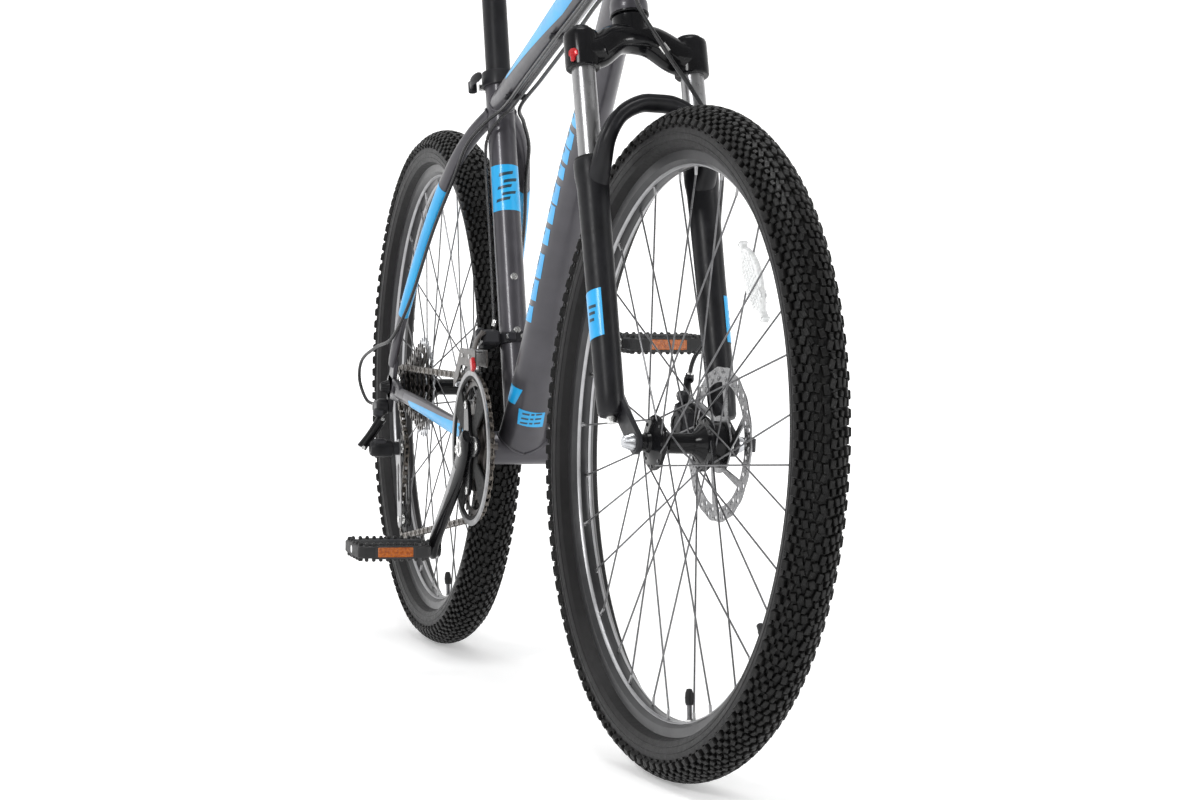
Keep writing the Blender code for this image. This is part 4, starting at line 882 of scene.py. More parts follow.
def down_tube():
    """The down tube with its welds, blocks of decal and bottle bosses."""
    shape = Shape()
    DOWN_PIPE.skin(shape, PAINT, 48)
    DOWN_PIPE.weld(shape, HEAD_FOOT, HEAD_AXIS, HEAD_TUBE_R, PAINT)
    DOWN_PIPE.weld(shape, BB, Y, 0.0200, PAINT, forward=False)
    for side in (180, 0):
        sign = 1 if side else -1
        for k in range(10):
            start = 0.331 + 0.0358 * k
            length = 0.022 + 0.005 * (k * 2 % 3)
            DOWN_PIPE.decal(shape, [(start, side - sign * 22), (start + length, side - sign * 26),
                                    (start + length + 0.010, side + sign * 34),
                                    (start + 0.010, side + sign * 34)], CYAN)
            DOWN_PIPE.decal(shape, [(start + 0.010, side + sign * 4), (start + length * 0.7, side + sign * 4),
                                    (start + length * 0.7 + 0.004, side + sign * 22),
                                    (start + 0.014, side + sign * 22)],
                            MARK, 0.0004, 6)
        DOWN_PIPE.decal(shape, [(0.790, side - sign * 48), (0.828, side - sign * 36),
                                (0.834, side + sign * 6), (0.796, side + sign * 6)], CYAN)
    DOWN_PIPE.decal(shape, [(0.840, 60), (0.880, 58), (0.872, 124), (0.832, 130)], CYAN, steps=14)
    for k in range(3):
        start = 0.8405 + 0.0120 * k
        for low, high in ((68, 84), (88, 96), (100, 118)):
            DOWN_PIPE.decal(shape, [(start, low), (start + 0.0045, low), (start + 0.0040, high),
                                    (start - 0.0005, high)],
                            MARK, 0.0004, 6)
    for t in (0.42, 0.58):
        place = DOWN_PIPE.surface(t, 270, -0.0004)
        shape.bolt(place, (DOWN_PIPE.surface(t, 270) - DOWN_PIPE.surface(t, 90)).normalized(), 0.0046, 0.0034)
    shape.build("down_tube_welded", "frame", instead=["down_tube"])


def seat_tube():
    """The seat tube, the bottom bracket's shell and cups, decals and bottle bosses."""
    shape = Shape()
    profile = [(SEAT_TUBE_R, 0.0), (SEAT_TUBE_R, SEAT_TUBE_TOP - 0.0005),
               (SEAT_TUBE_R - 0.0005, SEAT_TUBE_TOP),
               (POST_R + 0.0004, SEAT_TUBE_TOP), (POST_R + 0.0004, 0.03), (0.0003, 0.03), (0.0003, 0.0)]
    rings_of(shape, profile, BB, SEAT_AXIS, PAINT, 64)
    shell = both_ways([(0.0130, 0.0365), (0.0200, 0.0365), (SHELL_R, 0.0358)])
    rings_of(shape, shell, BB, Y, PAINT, 56)
    SEAT_PIPE.weld(shape, BB, Y, SHELL_R, PAINT)
    for sign in (-1, 1):
        cup = [(0.0112, sign * 0.0340), (0.0188, sign * 0.0362), (0.0192, sign * 0.0366),
               (0.0192, sign * 0.0396),
               (0.0184, sign * 0.0404), (0.0128, sign * 0.0400), (0.0112, sign * 0.0396)]
        rings_of(shape, cup, BB, Y, SATIN, 48)
    SEAT_PIPE.decal(shape, [(0.618, 190), (0.735, 190), (0.735, 350), (0.618, 350)], CYAN, steps=16)
    for k in range(5):
        start = 0.640 + 0.0165 * k
        lean = 214 + 9 * (k * 3 % 5)
        SEAT_PIPE.decal(shape, [(start, lean), (start + 0.008, lean + 4), (start + 0.014, lean + 62),
                                (start + 0.006, lean + 58)], MARK, 0.0004, 8)
    for t in (0.44, 0.30):
        shape.bolt(SEAT_PIPE.surface(t, 270, -0.0003), SEAT_AHEAD, 0.0046, 0.0034)
    shape.build("seat_tube_with_shell", "frame", instead=["seat_tube"])


def dropout(shape, side):
    """A chamfered dropout plate with a lightening hole."""
    axle = (REAR_AXLE.x, REAR_AXLE.z)
    low, high = sorted((side * (REAR_HUB + DROPOUT_IN), side * (REAR_HUB + DROPOUT_OUT)))
    outline = capsule(axle, (axle[0] + 0.052, axle[1] - 0.006), 0.017, 0.011, 14)
    holes = [circle(*axle, AXLE_HOLE_R, 24)]
    holes.append(capsule((axle[0] + 0.026, axle[1] - 0.002), (axle[0] + 0.036, axle[1] - 0.003), 0.0050,
                         0.0040))
    upright(shape, [outline, *holes], low + SHIFT.y, high + SHIFT.y, PAINT, 0.0008)
    tab = capsule((axle[0] + 0.004, axle[1] + 0.004), (axle[0] + 0.022, axle[1] + 0.034), 0.013, 0.0085)
    upright(shape, [tab, circle(*axle, AXLE_HOLE_R, 24)], low + SHIFT.y, high + SHIFT.y, PAINT, 0.0008)


def chainstay(word, side):
    """A bent stay with its dropout and, on the right, the derailleur's hanger, the cyan decal and a painted
    highlight along its upper outer side.
    """
    shape = Shape()
    pipe = chainstay_pipe(side)
    pipe.skin(shape, PAINT, 28)
    pipe.weld(shape, BB, Y, SHELL_R, PAINT, size=0.0015)
    dropout(shape, side)
    if side < 0:
        hanger = capsule((REAR_AXLE.x, REAR_AXLE.z), (REAR_AXLE.x - 0.009, REAR_AXLE.z - 0.027), 0.012,
                         0.0085)
        upright(shape, [hanger, circle(REAR_AXLE.x, REAR_AXLE.z, AXLE_HOLE_R, 24)],
                SHIFT.y - REAR_HUB - DROPOUT_OUT, SHIFT.y - REAR_HUB - DROPOUT_IN, SATIN, 0.0006)
        # Lighter grey painted along the stay's upper outer side: a painted highlight where the paint catches
        # the light
        pipe.decal(shape, [(0.30, 112), (0.86, 120), (0.86, 225), (0.30, 250)], GREY)
        pipe.decal(shape, [(0.30, 112), (0.79, 114), (0.80, 186), (0.30, 232)], CYAN, 0.0004)
    shape.build("chainstay_%s_with_dropout" % word, "frame", instead=["chainstay_" + word])


def seatstay(word, side):
    """A bent stay with its weld, wraparound decals and cable stops."""
    shape = Shape()
    pipe = seatstay_pipe(side)
    pipe.skin(shape, PAINT, 28)
    pipe.weld(shape, BB, SEAT_AXIS, SEAT_TUBE_R, PAINT, size=0.0015)
    pipe.decal(shape, [(0.385, -90), (0.715, -90), (0.715, 90), (0.395, 90)], CYAN, 0.0003, 24)
    pipe.decal(shape, [(0.395, 90), (0.715, 90), (0.715, 270), (0.385, 270)], CYAN, 0.0003, 24)
    for t in (0.34, 0.66):
        centre = pipe.surface(t, 270, 0.0030)
        along = (pipe.surface(t + 0.02, 270) - pipe.surface(t - 0.02, 270)).normalized()
        shape.block(centre, (0.010, 0.006, 0.004), (along, Y, along.cross(Y)), SATIN, 0.001)
    shape.build("seatstay_%s_welded" % word, "frame", instead=["seatstay_" + word])


def frame_parts():
    head_tube()
    top_tube()
    down_tube()
    seat_tube()
    for word, side in SIDES:
        chainstay(word, side)
        seatstay(word, side)


# Fork


def crown():
    """The glossy crown with its shoulders, both chromed stanchions, the caps and the steerer."""
    shape = Shape()
    path = [(-1, 0.0180, LEG_D, -0.002), (-0.72, 0.0188, LEG_D, 0.001), (-0.35, 0.0170, 0.005, 0.017),
            (0, 0.0155, 0.002, 0.021), (0.35, 0.0170, 0.005, 0.017), (0.72, 0.0188, LEG_D, 0.001),
            (1, 0.0180, LEG_D, -0.002)]
    points = [head_point(0.4410 + rise, d, LEG_Y * t) for t, _, d, rise in path]
    pipe = Pipe(points, [(0.0185, high) for _, high, _, _ in path], HEAD_AHEAD, 8)
    pipe.skin(shape, GLOSS, 40)
    groove = Pipe([point + HEAD_AHEAD * 0.0150 - HEAD_AXIS * 0.002 for point in points[1:-1]],
                  [(0.0040, 0.0100)] * 5, HEAD_AHEAD, 8)
    groove.skin(shape, GLOSS, 20)
    for side in (-1, 1):
        foot = head_point(0, LEG_D, side * LEG_Y)
        shape.lathe([(0.0128, 0.4195), (0.0174, 0.4198), (0.0186, 0.4210), (0.0189, 0.4240), (0.0189, 0.4550),
                     (0.0186, 0.4582), (0.0176, 0.4602), (0.0140, 0.4608), (0.0120, 0.4608)], foot, HEAD_AXIS,
                    GLOSS, 48)
        shape.lathe([(0.0127, 0.205), (0.0127, 0.4600)], foot, HEAD_AXIS, CHROME, 48)
        shape.lathe([(0.0136, 0.4600), (0.0136, 0.4628), (0.0128, 0.4642), (0.0100, 0.4648), (0.0040, 0.4650),
                     (TIP, 0.4650)], foot, HEAD_AXIS, SATIN, 36)
    crown_fittings(shape)
    shape.lathe([(0.0143, 0.455), (0.0143, 0.652)], HEAD_FOOT, HEAD_AXIS, SATIN, 36)
    shape.lathe([(0.0150, 0.4600), (0.0205, 0.4640), (0.0205, 0.4680), (0.0192, 0.4720), (0.0192, 0.4865),
                 (0.0182, 0.4878), (0.0150, 0.4878)], HEAD_FOOT, HEAD_AXIS, GLOSS, 48)
    shape.build("fork_crown_with_stanchions", "steerer", turn=True, instead=["fork_crown"])


def crown_fittings(shape):
    """The red lockout knob, the caps' adjusters and the cable's guide."""
    outward = (HEAD_AHEAD * 0.62 - Y * 0.78).normalized()
    knob = head_point(0.4325, LEG_D, -LEG_Y) + outward * 0.0176
    shape.lathe([(TIP, 0), (0.0056, 0), (0.0056, 0.0016), (0.0050, 0.0030), (0.0030, 0.0036),
                 (TIP, 0.0038)],
                knob, outward, RED, 28, lobes=8)
    shape.block(knob + outward * 0.0030 - HEAD_AXIS * 0.0040, (0.0050, 0.0034, 0.0120),
                (outward.cross(HEAD_AXIS).normalized(), outward, HEAD_AXIS), RED, 0.0010)
    knob = head_point(0.4648, LEG_D, -LEG_Y)
    shape.lathe([(0.0090, 0), (0.0094, 0.0008), (0.0094, 0.0022), (0.0086, 0.0030), (TIP, 0.0031)],
                knob, HEAD_AXIS, SATIN, 36, lobes=12)
    cap = head_point(0.4648, LEG_D, LEG_Y)
    shape.lathe([(0.0056, 0), (0.0056, 0.0012), (0.0032, 0.0018), (TIP, 0.0018)], cap, HEAD_AXIS, NICKEL,
                24)
    guide = head_point(0.4420, 0.0300, 0.0245)
    shape.lathe(both_ways([(0.0026, 0.0050), (0.0042, 0.0050)]), guide,
                (HEAD_AXIS * 0.8 - Y * 0.6).normalized(), NICKEL, 20, closed=True)
    shape.block(head_point(0.4425, 0.0250, 0.0255), (0.0100, 0.0060, 0.0060), (HEAD_AHEAD, Y, HEAD_AXIS),
                SATIN, 0.0015)


def lowers():
    """The cast legs with their dropouts, wiper seals, foot bolts and the arch."""
    shape = Shape()
    for side in (-1, 1):
        foot = head_point(0, LEG_D, side * LEG_Y)
        leg = [(TIP, 0.0370), (0.0080, 0.0372), (0.0125, 0.0385), (0.0142, 0.0420), (0.0150, 0.0600),
               (0.0156, 0.1400), (0.0160, 0.2000), (0.0166, 0.2600), (0.0170, 0.2850), (0.0178, 0.2930),
               (0.0186, 0.2990), (0.0187, 0.3140), (0.0182, 0.3160), (0.0134, 0.3160)]
        shape.lathe(leg, foot, HEAD_AXIS, SATIN, 56)
        shape.lathe([(0.0132, 0.3130), (0.0172, 0.3150), (0.0176, 0.3166), (0.0170, 0.3186), (0.0150, 0.3196),
                     (0.0131, 0.3205)], foot, HEAD_AXIS, RUBBER, 48)
        inner, outer = sorted((side * (FORK_HUB + 0.0004), side * (FORK_HUB + 0.0066)))
        axle = (STRAIGHT_AXLE.x, STRAIGHT_AXLE.z)
        low = head_point(0.050, LEG_D)
        outlines = [capsule(axle, (low.x, low.z), 0.0125, 0.0112, 14), circle(*axle, AXLE_HOLE_R, 24)]
        upright(shape, outlines, inner + SHIFT.y, outer + SHIFT.y, SATIN, 0.0010)
        shape.lathe([(TIP, 0.0300), (0.0048, 0.0300), (0.0052, 0.0310), (0.0052, 0.0380)], foot, HEAD_AXIS,
                    NICKEL, 20)
        leg_decal(shape, side)
    arch(shape)
    shape.build("fork_lowers_with_seals", "fork_lowers", turn=True, instead=["fork_lowers"])


def leg_decal(shape, side):
    """A cyan patch with dark bars round the outside of one leg."""
    patch = Pipe([head_point(s, LEG_D, side * LEG_Y) for s in (0.118, 0.136, 0.154, 0.172)],
                 [0.01545, 0.0156, 0.0157, 0.0158], HEAD_AHEAD)
    centre = side * 72
    patch.decal(shape, [(0.0, centre - 48), (0.92, centre - 48), (1.0, centre + 48), (0.08, centre + 48)],
                CYAN, 0.0004, 14)
    for k in range(3):
        start = 0.36 + 0.13 * k
        end = centre + 12 + 6 * k
        patch.decal(shape, [(start, centre - 14), (start + 0.06, centre - 14), (start + 0.06, end),
                            (start, end)],
                    MARK, 0.0006, 6)


def arch(shape):
    """The arch ahead of the tyre that ties the legs together, with a rib along each edge."""
    half_arch = [(0.246, 0.0095, 0.0608), (0.286, 0.0135, 0.0602), (0.306, 0.032, 0.0600),
                 (0.330, 0.045, 0.0560), (0.353, 0.050, 0.0420), (0.366, 0.051, 0.0200)]
    route = [head_point(s, d, -y) for s, d, y in half_arch]
    route.append(head_point(0.368, 0.051))
    route += [head_point(s, d, y) for s, d, y in reversed(half_arch)]
    feet = [(0.0060, 0.0080), (0.0118, 0.0128), (0.0114, 0.0110), (0.0110, 0.0092), (0.0108, 0.0084),
            (0.0108, 0.0082)]
    Pipe(route, [*feet, feet[-1], *reversed(feet)], HEAD_AHEAD, 8).skin(shape, SATIN, 28)
    centre = head_point(0.310, 0.030)
    for lift in (0.0062, -0.0062):
        rib = [point + HEAD_AHEAD * lift + (point - centre).normalized() * 0.0050 for point in route]
        Pipe(rib[1:-1], [(0.0016, 0.0040)] * 11, HEAD_AHEAD, 8).skin(shape, SATIN, 12)


def fork_parts():
    crown()
    lowers()


# Cockpit

BAR = head_point(0.645, 0.075)
BEND_Y = 0.110
BAR_HALF = 0.340
BAR_REACH = BAR_HALF - BEND_Y
BAR_RISE = 0.024
BAR_SWEEP = -0.158
BAR_CLIMB = 0.060
CONTROL_TILT = radians(38)
GRIP_LENGTH = 0.125
LEVER_AT = 0.082


def bar_point(side, distance):
    """A point on one side of the bar, out from its bend."""
    bend = BAR + Vector((0, side * BEND_Y, BAR_RISE))
    return bend + Vector((BAR_SWEEP, side, BAR_CLIMB)) * distance


def bar_axes(side):
    """(outward, ahead, down) unit vectors of the controls on one side of the bar."""
    outward = Vector((BAR_SWEEP, side, BAR_CLIMB)).normalized()
    ahead = Vector((cos(CONTROL_TILT), 0, -sin(CONTROL_TILT)))
    ahead = (ahead - outward * ahead.dot(outward)).normalized()
    down = outward.cross(ahead) * side
    return outward, ahead, (-down if down.z > 0 else down)


def handlebar():
    """A riser bar, thick in the middle and bent twice on each side."""
    shape = Shape()
    ends = [bar_point(1, BAR_REACH), bar_point(1, BAR_REACH * 0.5), bar_point(1, 0)]
    middle = [BAR + Y * y for y in (0.055, 0.030, 0.0, -0.030, -0.055)]
    route = ends + middle + [bar_point(-1, 0), bar_point(-1, BAR_REACH * 0.5), bar_point(-1, BAR_REACH)]
    radii = [0.011, 0.011, 0.011, 0.0150, 0.0157, 0.0157, 0.0157, 0.0150, 0.011, 0.011, 0.011]
    Pipe(route, radii, Z, 10).skin(shape, SATIN, 32)
    shape.build("handlebar_smooth", "steerer", turn=True, instead=["handlebar"])


def stem():
    """Stem with a four-bolt face plate, steerer bolts, spacers and the top cap."""
    shape = Shape()
    shape.lathe([(0.0150, 0.6155), (0.0188, 0.6155), (0.0196, 0.6165), (0.0196, 0.6220), (0.0188, 0.6228),
                 (0.0188, 0.6234), (0.0196, 0.6242), (0.0200, 0.6300), (0.0200, 0.6480), (0.0192, 0.6536),
                 (0.0150, 0.6542)], HEAD_FOOT, HEAD_AXIS, SATIN, 48)
    Pipe([head_point(0.636, 0.0150), head_point(0.638, 0.035), head_point(0.641, 0.060)],
         [(0.0150, 0.0155), (0.0140, 0.0135), (0.0185, 0.0140)], Y, 8).skin(shape, SATIN, 32)
    sleeve = both_ways([(0.0160, 0.0218), (0.0190, 0.0220), (0.0204, 0.0208)])
    rings_of(shape, sleeve, BAR, Y, SATIN, 56)
    for y in (-0.014, 0.014):
        for high in (-0.0165, 0.0165):
            shape.bolt(BAR + Y * y + HEAD_AXIS * high + HEAD_AHEAD * 0.0120, HEAD_AHEAD, 0.0036, 0.0040)
        shape.block(BAR + Y * y + HEAD_AHEAD * 0.006, (0.012, 0.012, 0.040), (HEAD_AHEAD, Y, HEAD_AXIS),
                    SATIN, 0.002)
    for s in (0.630, 0.646):
        shape.bolt(head_point(s, -0.0185, -0.006), Y, 0.0034, 0.018)
    shape.lathe([(0.0165, 0.6544), (0.0168, 0.6552), (0.0168, 0.6585), (0.0155, 0.6600), (0.0045, 0.6602),
                 (0.0044, 0.6575), (TIP, 0.6575)], HEAD_FOOT, HEAD_AXIS, SATIN, 48)
    shape.bolt(head_point(0.6575), HEAD_AXIS, 0.0040, 0.0030)
    shape.build("stem_bolted", "steerer", turn=True, instead=["stem"])


def grip(word, side):
    """A ribbed rubber grip with flanged ends and a bar plug."""
    shape = Shape()
    start = bar_point(side, BAR_REACH - GRIP_LENGTH)
    axis = (bar_point(side, BAR_REACH) - start).normalized()
    profile = [(0.0114, 0.0002), (0.0166, 0.0002), (0.0172, 0.0012), (0.0172, 0.0048), (0.0158, 0.0064)]
    for k in range(22):
        low = 0.010 + 0.0048 * k
        profile += [(0.0148, low), (0.0156, low + 0.0008), (0.0156, low + 0.0030), (0.0148, low + 0.0038)]
    profile += [(0.0152, 0.1170), (0.0166, 0.1190), (0.0168, 0.1235), (0.0158, 0.1248), (0.0114, 0.1248)]
    rings_of(shape, profile, start, axis, RUBBER, 40)
    shape.lathe([(0.0112, 0.1235), (0.0112, 0.1252), (0.0100, 0.1262), (TIP, 0.1262)], start, axis,
                PLASTIC, 32)
    shape.build("grip_%s_ribbed" % word, "steerer", turn=True, instead=["grip_" + word])


def control_pod(word, side):
    """Brake perch with its reach screw and barrel adjuster, and the shifter's housing and gauge."""
    shape = Shape()
    outward, ahead, down = bar_axes(side)
    axes = (outward, ahead, down)
    start = bar_point(side, 0.066)
    collar = [(0.0114, 0.0), (0.0146, 0.0), (0.0154, 0.0008), (0.0154, 0.0292), (0.0146, 0.0300),
              (0.0114, 0.0300)]
    rings_of(shape, collar, start, outward, CAST, 44)
    shape.block(start + outward * 0.015 + ahead * 0.026, (0.0215, 0.0295, 0.0088), axes, CAST, 0.0025)
    shape.block(start + outward * 0.004 + ahead * 0.0185, (0.008, 0.012, 0.012), axes, CAST, 0.002)
    barrel = start + outward * 0.006 + ahead * 0.028
    shape.lathe([(0.0030, 0), (0.0046, 0.0005), (0.0046, 0.0075), (0.0036, 0.0085), (0.0036, 0.0125),
                 (0.0028, 0.0130), (TIP, 0.0130)], barrel, -outward, SATIN, 24, lobes=12)
    shape.block(start + outward * 0.014 + down * 0.0215 + ahead * 0.006, (0.0355, 0.0335, 0.0128), axes,
                PLASTIC, 0.003)
    shape.block(start + outward * 0.012 + down * 0.0140 + ahead * 0.0190, (0.020, 0.0090, 0.0070), axes,
                PLASTIC, 0.002)
    shape.block(start + outward * 0.012 + down * 0.0100 + ahead * 0.0190, (0.014, 0.0060, 0.0016), axes,
                PEARL, 0.0004)
    shape.bolt(start + outward * 0.015 - ahead * 0.0125 - down * 0.004, -down, 0.0032, 0.0030)
    shape.build("control_pod_%s_detailed" % word, "steerer", turn=True,
                instead=["control_pod_" + word])


def brake_lever(word, side):
    """A curved two-finger blade on its pivot pin."""
    shape = Shape()
    outward, ahead, down = bar_axes(side)
    pivot = bar_point(side, LEVER_AT) + ahead * 0.048
    path = [(-0.008, -0.001), (0.012, 0.002), (0.030, 0.013), (0.075, 0.011), (0.102, 0.009), (0.112, 0.014)]
    points = [pivot + outward * a + ahead * b for a, b in path]
    radii = [(0.0045, 0.006), (0.0045, 0.006), (0.006, 0.0045), (0.006, 0.004), (0.0055, 0.004),
             (0.004, 0.003)]
    Pipe(points, radii, down, 8).skin(shape, SATIN, 24)
    shape.lathe(both_ways([(TIP, 0.0062), (0.0034, 0.0060), (0.0038, 0.0050)]), pivot, down, NICKEL, 20)
    shape.build("brake_lever_%s_curved" % word, "brake_lever_" + word, turn=True,
                instead=["brake_lever_" + word])


def thumb_lever(word, side):
    """The paddle under the shifter."""
    shape = Shape()
    outward, ahead, down = bar_axes(side)
    pivot = bar_point(side, LEVER_AT) + down * 0.0315 + ahead * 0.004
    path = [(-0.002, 0.004), (0.012, -0.008), (0.030, -0.022), (0.040, -0.026)]
    points = [pivot + outward * a + ahead * b for a, b in path]
    Pipe(points, [(0.0025, 0.007), (0.0022, 0.005), (0.003, 0.007), (0.003, 0.006)], down,
         8).skin(shape, PLASTIC, 22)
    shape.build("thumb_lever_%s_curved" % word, "thumb_lever_" + word, turn=True,
                instead=["thumb_lever_" + word])


def cockpit_parts():
    handlebar()
    stem()
    for word, side in SIDES:
        grip(word, side)
        control_pod(word, side)
        brake_lever(word, side)
        thumb_lever(word, side)


# Seat

SADDLE_PIVOT = seat_point(0.640)
RAIL_Z = SADDLE_PIVOT.z + 0.024


def seat_clamp():
    """The collar round the seat tube's top, its ears and bolt."""
    shape = Shape()
    low = SEAT_TUBE_TOP - 0.018
    collar = [(SEAT_TUBE_R + 0.0003, low), (0.0205, low), (0.0212, low + 0.0008),
              (0.0212, SEAT_TUBE_TOP - 0.001),
              (0.0208, SEAT_TUBE_TOP + 0.0006), (POST_R + 0.0006, SEAT_TUBE_TOP + 0.0010),
              (POST_R + 0.0006, SEAT_TUBE_TOP - 0.0002), (SEAT_TUBE_R + 0.0003, SEAT_TUBE_TOP - 0.0002)]
    rings_of(shape, collar, BB, SEAT_AXIS, SATIN, 56)
    middle = SEAT_TUBE_TOP - 0.009
    axes = (SEAT_AHEAD, Y, SEAT_AXIS)
    for side in (-1, 1):
        shape.block(seat_point(middle, -0.0265, side * 0.0061), (0.0160, 0.0078, 0.0140), axes, SATIN, 0.002)
    shape.lathe([(TIP, -0.0195), (0.0040, -0.0195), (0.0040, 0.0115), (0.0056, 0.0115), (0.0056, 0.0135),
                 (0.0040, 0.0148), (TIP, 0.0148)], seat_point(middle, -0.0275), Y, NICKEL, 24)
    shape.build("seat_clamp_with_bolt", "frame", instead=["seat_clamp"])


def quick_lever(name, pivot, along, outward, length, turn=False):
    """A cam lever with a hollowed, curved blade."""
    shape = Shape()
    across = along.cross(outward)
    blade = [pivot + along * (length * t) + outward * (0.006 * sin(pi * t))
             for t in (0, 0.15, 0.3, 0.5, 0.7, 0.88, 1)]
    Pipe(blade, [(0.0062, 0.0030), (0.0054, 0.0026), (0.0050, 0.0022), (0.0056, 0.0021), (0.0064, 0.0020),
                 (0.0062, 0.0018), (0.0042, 0.0014)], across, 6).skin(shape, SATIN, 24)
    shape.lathe(both_ways([(TIP, 0.0070), (0.0048, 0.0070), (0.0055, 0.0063)]), pivot, across, SATIN, 28)
    shape.build(name + "_cam", name, turn=turn, instead=[name])


def seatpost():
    """The post with its height marks and the round head that the saddle tilts on."""
    shape = Shape()
    shape.lathe([(TIP, 0.310), (POST_R - 0.0006, 0.310), (POST_R, 0.3106), (POST_R, 0.6280),
                 (POST_R - 0.0010, 0.6340), (0.0100, 0.6400)], BB, SEAT_AXIS, SATIN, 48)
    for k in range(7):
        level = 0.485 + 0.010 * k
        mark = Pipe([seat_point(level), seat_point(level + 0.0004), seat_point(level + 0.0008)], [POST_R] * 3,
                    Y, 2)
        mark.decal(shape, [(0, 70), (1, 70), (1, 110 if k % 2 else 95), (0, 110 if k % 2 else 95)], GREY,
                   0.0001, 4)
    shape.lathe(both_ways([(TIP, 0.0170), (0.0120, 0.0170), (0.0135, 0.0158)]), SADDLE_PIVOT, Y, SATIN, 40)
    shape.build("seatpost_with_head", "seatpost", instead=["seatpost"])


def rails():
    """The clamp, the two bent rails and the sockets that hold them under the cover."""
    shape = Shape()
    axes = (X, Y, Z)
    shape.block(SADDLE_PIVOT + Z * 0.0190, (0.040, 0.0335, 0.0110), axes, SATIN, 0.0025)
    shape.block(Vector((SADDLE_PIVOT.x, SADDLE_PIVOT.y, RAIL_Z + 0.0012)), (0.040, 0.0520, 0.0096), axes,
                SATIN, 0.0025)
    for x in (-0.0135, 0.0135):
        shape.bolt(Vector((SADDLE_PIVOT.x + x, SADDLE_PIVOT.y, RAIL_Z + 0.0058)), Z, 0.0038, 0.0040)
    for side in (-1, 1):
        path = [(-0.113, 0.046, 0.034), (-0.103, 0.043, 0.016), (-0.075, 0.036, 0.000),
                (-0.030, 0.0300, 0.000),
                (0.045, 0.022, 0.000), (0.085, 0.018, 0.006), (0.122, 0.0135, 0.023), (0.131, 0.012, 0.037)]
        points = [Vector((SADDLE_PIVOT.x + a, SADDLE_PIVOT.y + side * y, RAIL_Z + h)) for a, y, h in path]
        shape.tube(smooth_path(points, 8), [0.0035] * 57, STEEL, 20)
        shape.block(points[0] - Z * 0.0035, (0.020, 0.013, 0.013), axes, PLASTIC, 0.0025)
        shape.block(points[-1] - Z * 0.0030, (0.018, 0.012, 0.013), axes, PLASTIC, 0.0025)
    shape.build("saddle_rails_clamped", "saddle", instead=["saddle_rails"])


def saddle():
    """A padded vinyl cover with a centre channel, and the piping round its edge."""
    shape = Shape()
    plan = [(-0.128, 0.030, 0.010, 0.047), (-0.126, 0.052, 0.016, 0.047), (-0.112, 0.067, 0.020, 0.047),
            (-0.085, 0.072, 0.023, 0.046), (-0.055, 0.068, 0.024, 0.044), (-0.020, 0.054, 0.024, 0.043),
            (0.015, 0.038, 0.022, 0.042), (0.060, 0.026, 0.019, 0.043), (0.105, 0.0215, 0.016, 0.046),
            (0.135, 0.0190, 0.013, 0.047), (0.147, 0.0140, 0.009, 0.047), (0.1505, 0.0060, 0.004, 0.047)]
    count = 48
    fine = smooth_path([Vector(entry) for entry in plan], 5)
    rings = []
    for along, half, high, level in fine:
        channel = 0.0045 if -0.11 < along < 0.09 else 0
        ring = []
        for k in range(count):
            angle = 2 * pi * (k + 0.5) / count
            lift = high * sin(angle)
            across = half * cos(angle)
            if sin(angle) > 0:
                lift = high * sin(angle) ** 0.75 - channel * max(0.0, 1 - (across / 0.010) ** 2)
            else:
                lift *= 0.72
                across *= 0.94
            ring.append(Vector((SADDLE_PIVOT.x + along, SADDLE_PIVOT.y + across,
                                RAIL_Z + level + 0.002 + lift)))
        rings.append(ring)
    shape.loft(rings, VINYL)
    cover = shape.build("saddle_cover_padded", "saddle", 60, instead=["saddle"])
    trim = Shape()
    for side in (-1, 1):
        seam = [Vector((SADDLE_PIVOT.x + a, SADDLE_PIVOT.y + side * (b * 1.003), RAIL_Z + d + 0.0022))
                for a, b, _, d in fine[3:-3]]
        trim.tube(seam, [0.0011] * len(seam), RUBBER, 10)
    trim.build("saddle_piping", "saddle")


def seat_parts():
    seat_clamp()
    seatpost()
    rails()
    saddle()
    quick_lever("seat_quick_lever", AT["seat_quick_lever_open"], SEAT_AHEAD, -Y, 0.045)


# Brakes and axles

FRONT_WAY = (HEAD_AXIS * 0.513 - HEAD_AHEAD * 0.858).normalized()
REAR_WAY = Vector((cos(radians(22)), 0, sin(radians(22))))
FRONT_ARM_WAY = (HEAD_AXIS * 0.9 - HEAD_AHEAD * 0.44).normalized()
REAR_ARM_WAY = Vector((0.450, 0, 0.893))
CALIPER_REACH = 0.0790
ARM_REACH = 0.086
ARM_LENGTH = 0.034
LEVER_LENGTH = 0.055


